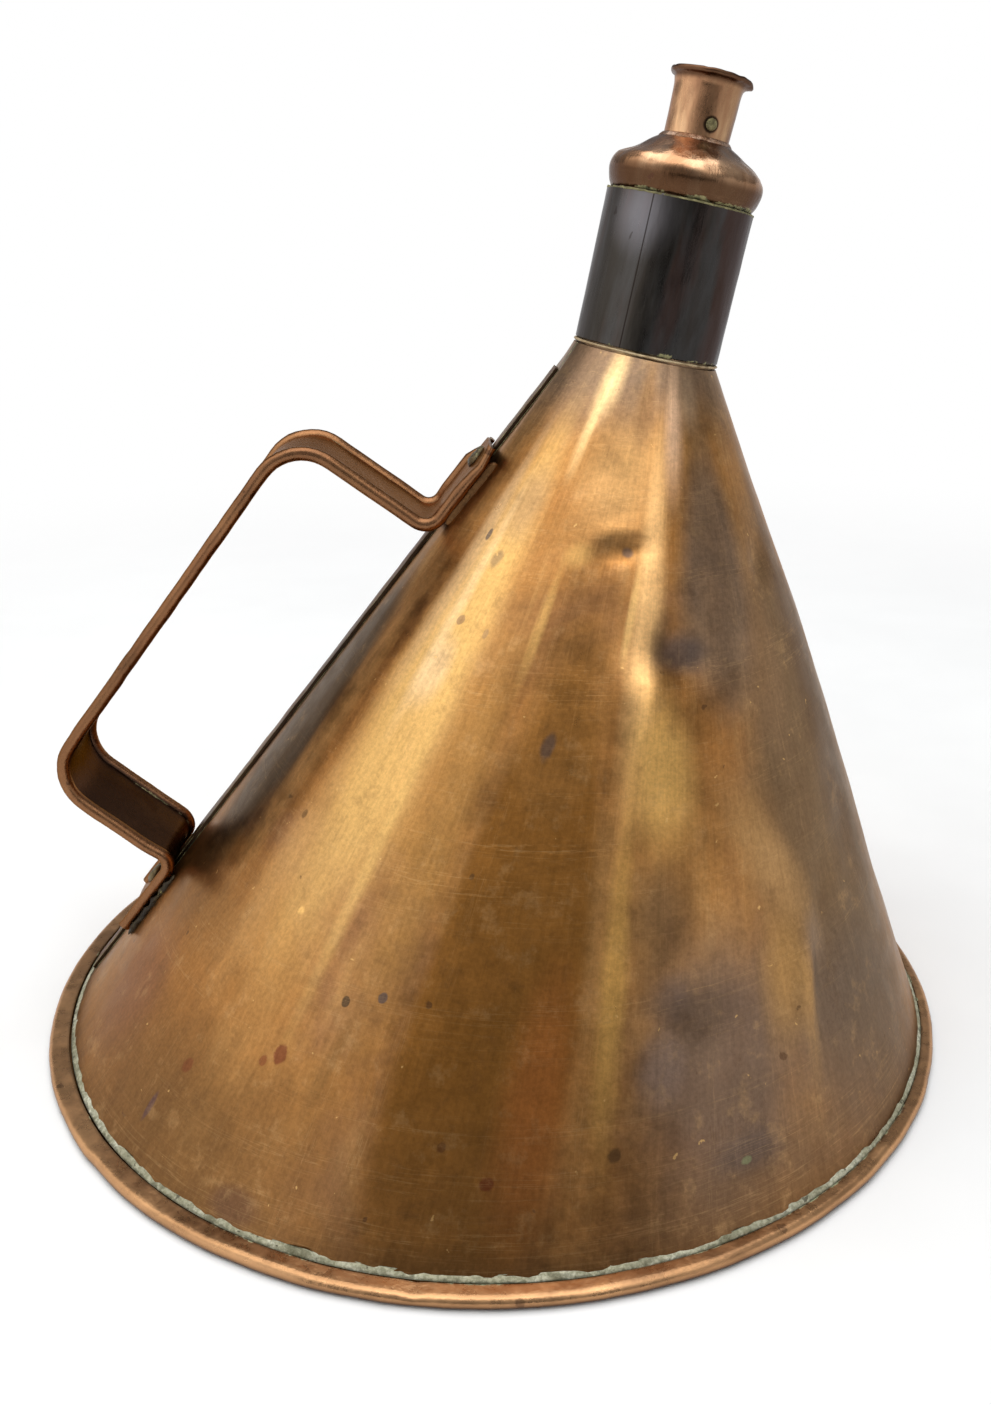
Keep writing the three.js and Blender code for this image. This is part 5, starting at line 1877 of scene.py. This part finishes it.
seen = count(tree, "MAXIMUM", seen, rays["Is Transmission Ray"])
away = between(tree, vectors(tree, "LENGTH", place), 0.16, 0.75)
send_out(tree, either(tree, times(tree, seen, away), matt, glow))
floor.data.materials.append(material)
take(floor)
bpy.ops.object.shade_smooth_by_angle(angle=math.radians(40))

# %% [markdown]
# ## Dark screen
# The neck is nearly black in front because it reflects the dark side of the room. A studio gets this with a
# dark screen behind the camera. It thins out upwards, so that the head and the spout don't mirror its edge.
# The camera rays pass through it, so that it never shows in any view.

# %% Screen
screen = turn_rings("dark_screen", [(1250, 10), (1250, 110), (1250, 210), (1250, 310), (1250, 400)], 96)
take(screen)
bpy.ops.object.mode_set(mode="EDIT")
choose(screen, lambda x, y, z: not -37 <= math.degrees(math.atan2(x, -y)) <= 38)
bpy.ops.mesh.delete(type="VERT")
rest()
material, tree = new_material("dark_cloth")
place = stood(tree)
weave = between(tree, grain(tree, place, 600.0, 3), 0.3, 0.7, 0.03, 0.06)
shade = grey_of(tree, weave)
upright = axes_of(tree, place)["Z"]
thick = between(tree, upright, 0.24, 0.4, 1.0, 0.3)
send_out(tree, put(tree, "BsdfPrincipled", Base_Color=shade, Roughness=0.9, Alpha=thick))
screen.data.materials.append(material)
screen.visible_camera = False
screen.visible_shadow = False

# %% [markdown]
# ## The room
# Copper shows the room it stands in. The world is a soft grey, and plain white only where the camera sees it.

# %% World
world = bpy.data.worlds.new("soft_room")
bpy.context.scene.world = world
world.use_nodes = True
tree = world.node_tree
tree.nodes.clear()
room = put(tree, "Background", Color=(0.96, 0.98, 1.0, 1), Strength=0.35)
plain_white = put(tree, "Background", Color=(1, 1, 1, 1), Strength=1.0)
seen = put(tree, "LightPath").outputs["Is Camera Ray"]
send_out(tree, either(tree, seen, room, plain_white), "World")

# %% [markdown]
# ## Softboxes
# Seven softboxes stand round the still. Three on the left draw the long golden band down the cone and its
# soft edge. One high in front lights the head and the spout, two on the right draw the second band, and a
# wide one overhead lights the floor. Each is noted by where it stands, seen from the middle of the still, and
# by how bright its face is.

# %% Softboxes
MIDDLE = Vector((0.01, 0, 0.09))


def softbox(name, azimuth, elevation, distance, width, height, brightness, tint=(1, 1, 1)):
    lamp = bpy.data.lights.new(name, "AREA")
    lamp.shape = "RECTANGLE"
    lamp.size, lamp.size_y = width, height
    lamp.energy = brightness * math.pi * width * height
    lamp.color = tint
    box = bpy.data.objects.new(name, lamp)
    bpy.context.scene.collection.objects.link(box)
    azimuth, elevation = math.radians(azimuth), math.radians(elevation)
    level = math.cos(elevation)
    towards = Vector((math.sin(azimuth) * level, -math.cos(azimuth) * level, math.sin(elevation)))
    facing = towards.to_track_quat("Z", "Y").to_matrix().to_4x4()
    box.matrix_world = Matrix.Translation(MIDDLE + towards * distance) @ facing
    print("softbox", name, [round(value, 2) for value in box.matrix_world.translation])


# Degrees round from the front, degrees up, distance, width and height in metres, brightness, tint
softbox("left_softbox", -90, 35, 1.3, 0.95, 0.95, 0.95, (1.0, 0.99, 0.95))
softbox("left_upper_softbox", -86, 50, 1.3, 0.6, 0.5, 0.8, (1.0, 0.99, 0.95))
softbox("left_fill", -54, 29, 1.4, 0.66, 1.1, 0.7, (0.96, 0.99, 1.0))
softbox("high_front_softbox", -6, 60, 1.4, 1.9, 0.7, 0.75, (0.98, 1.0, 0.98))
softbox("right_front_softbox", 30, 38, 1.4, 0.36, 0.7, 1.1, (0.98, 1.0, 0.98))
softbox("right_high_softbox", 47, 46, 1.4, 0.42, 0.34, 0.9, (1.0, 0.98, 0.96))
softbox("top_softbox", 0, 89, 1.6, 1.7, 1.7, 2.2)

bpy.context.scene.view_settings.view_transform = "Standard"
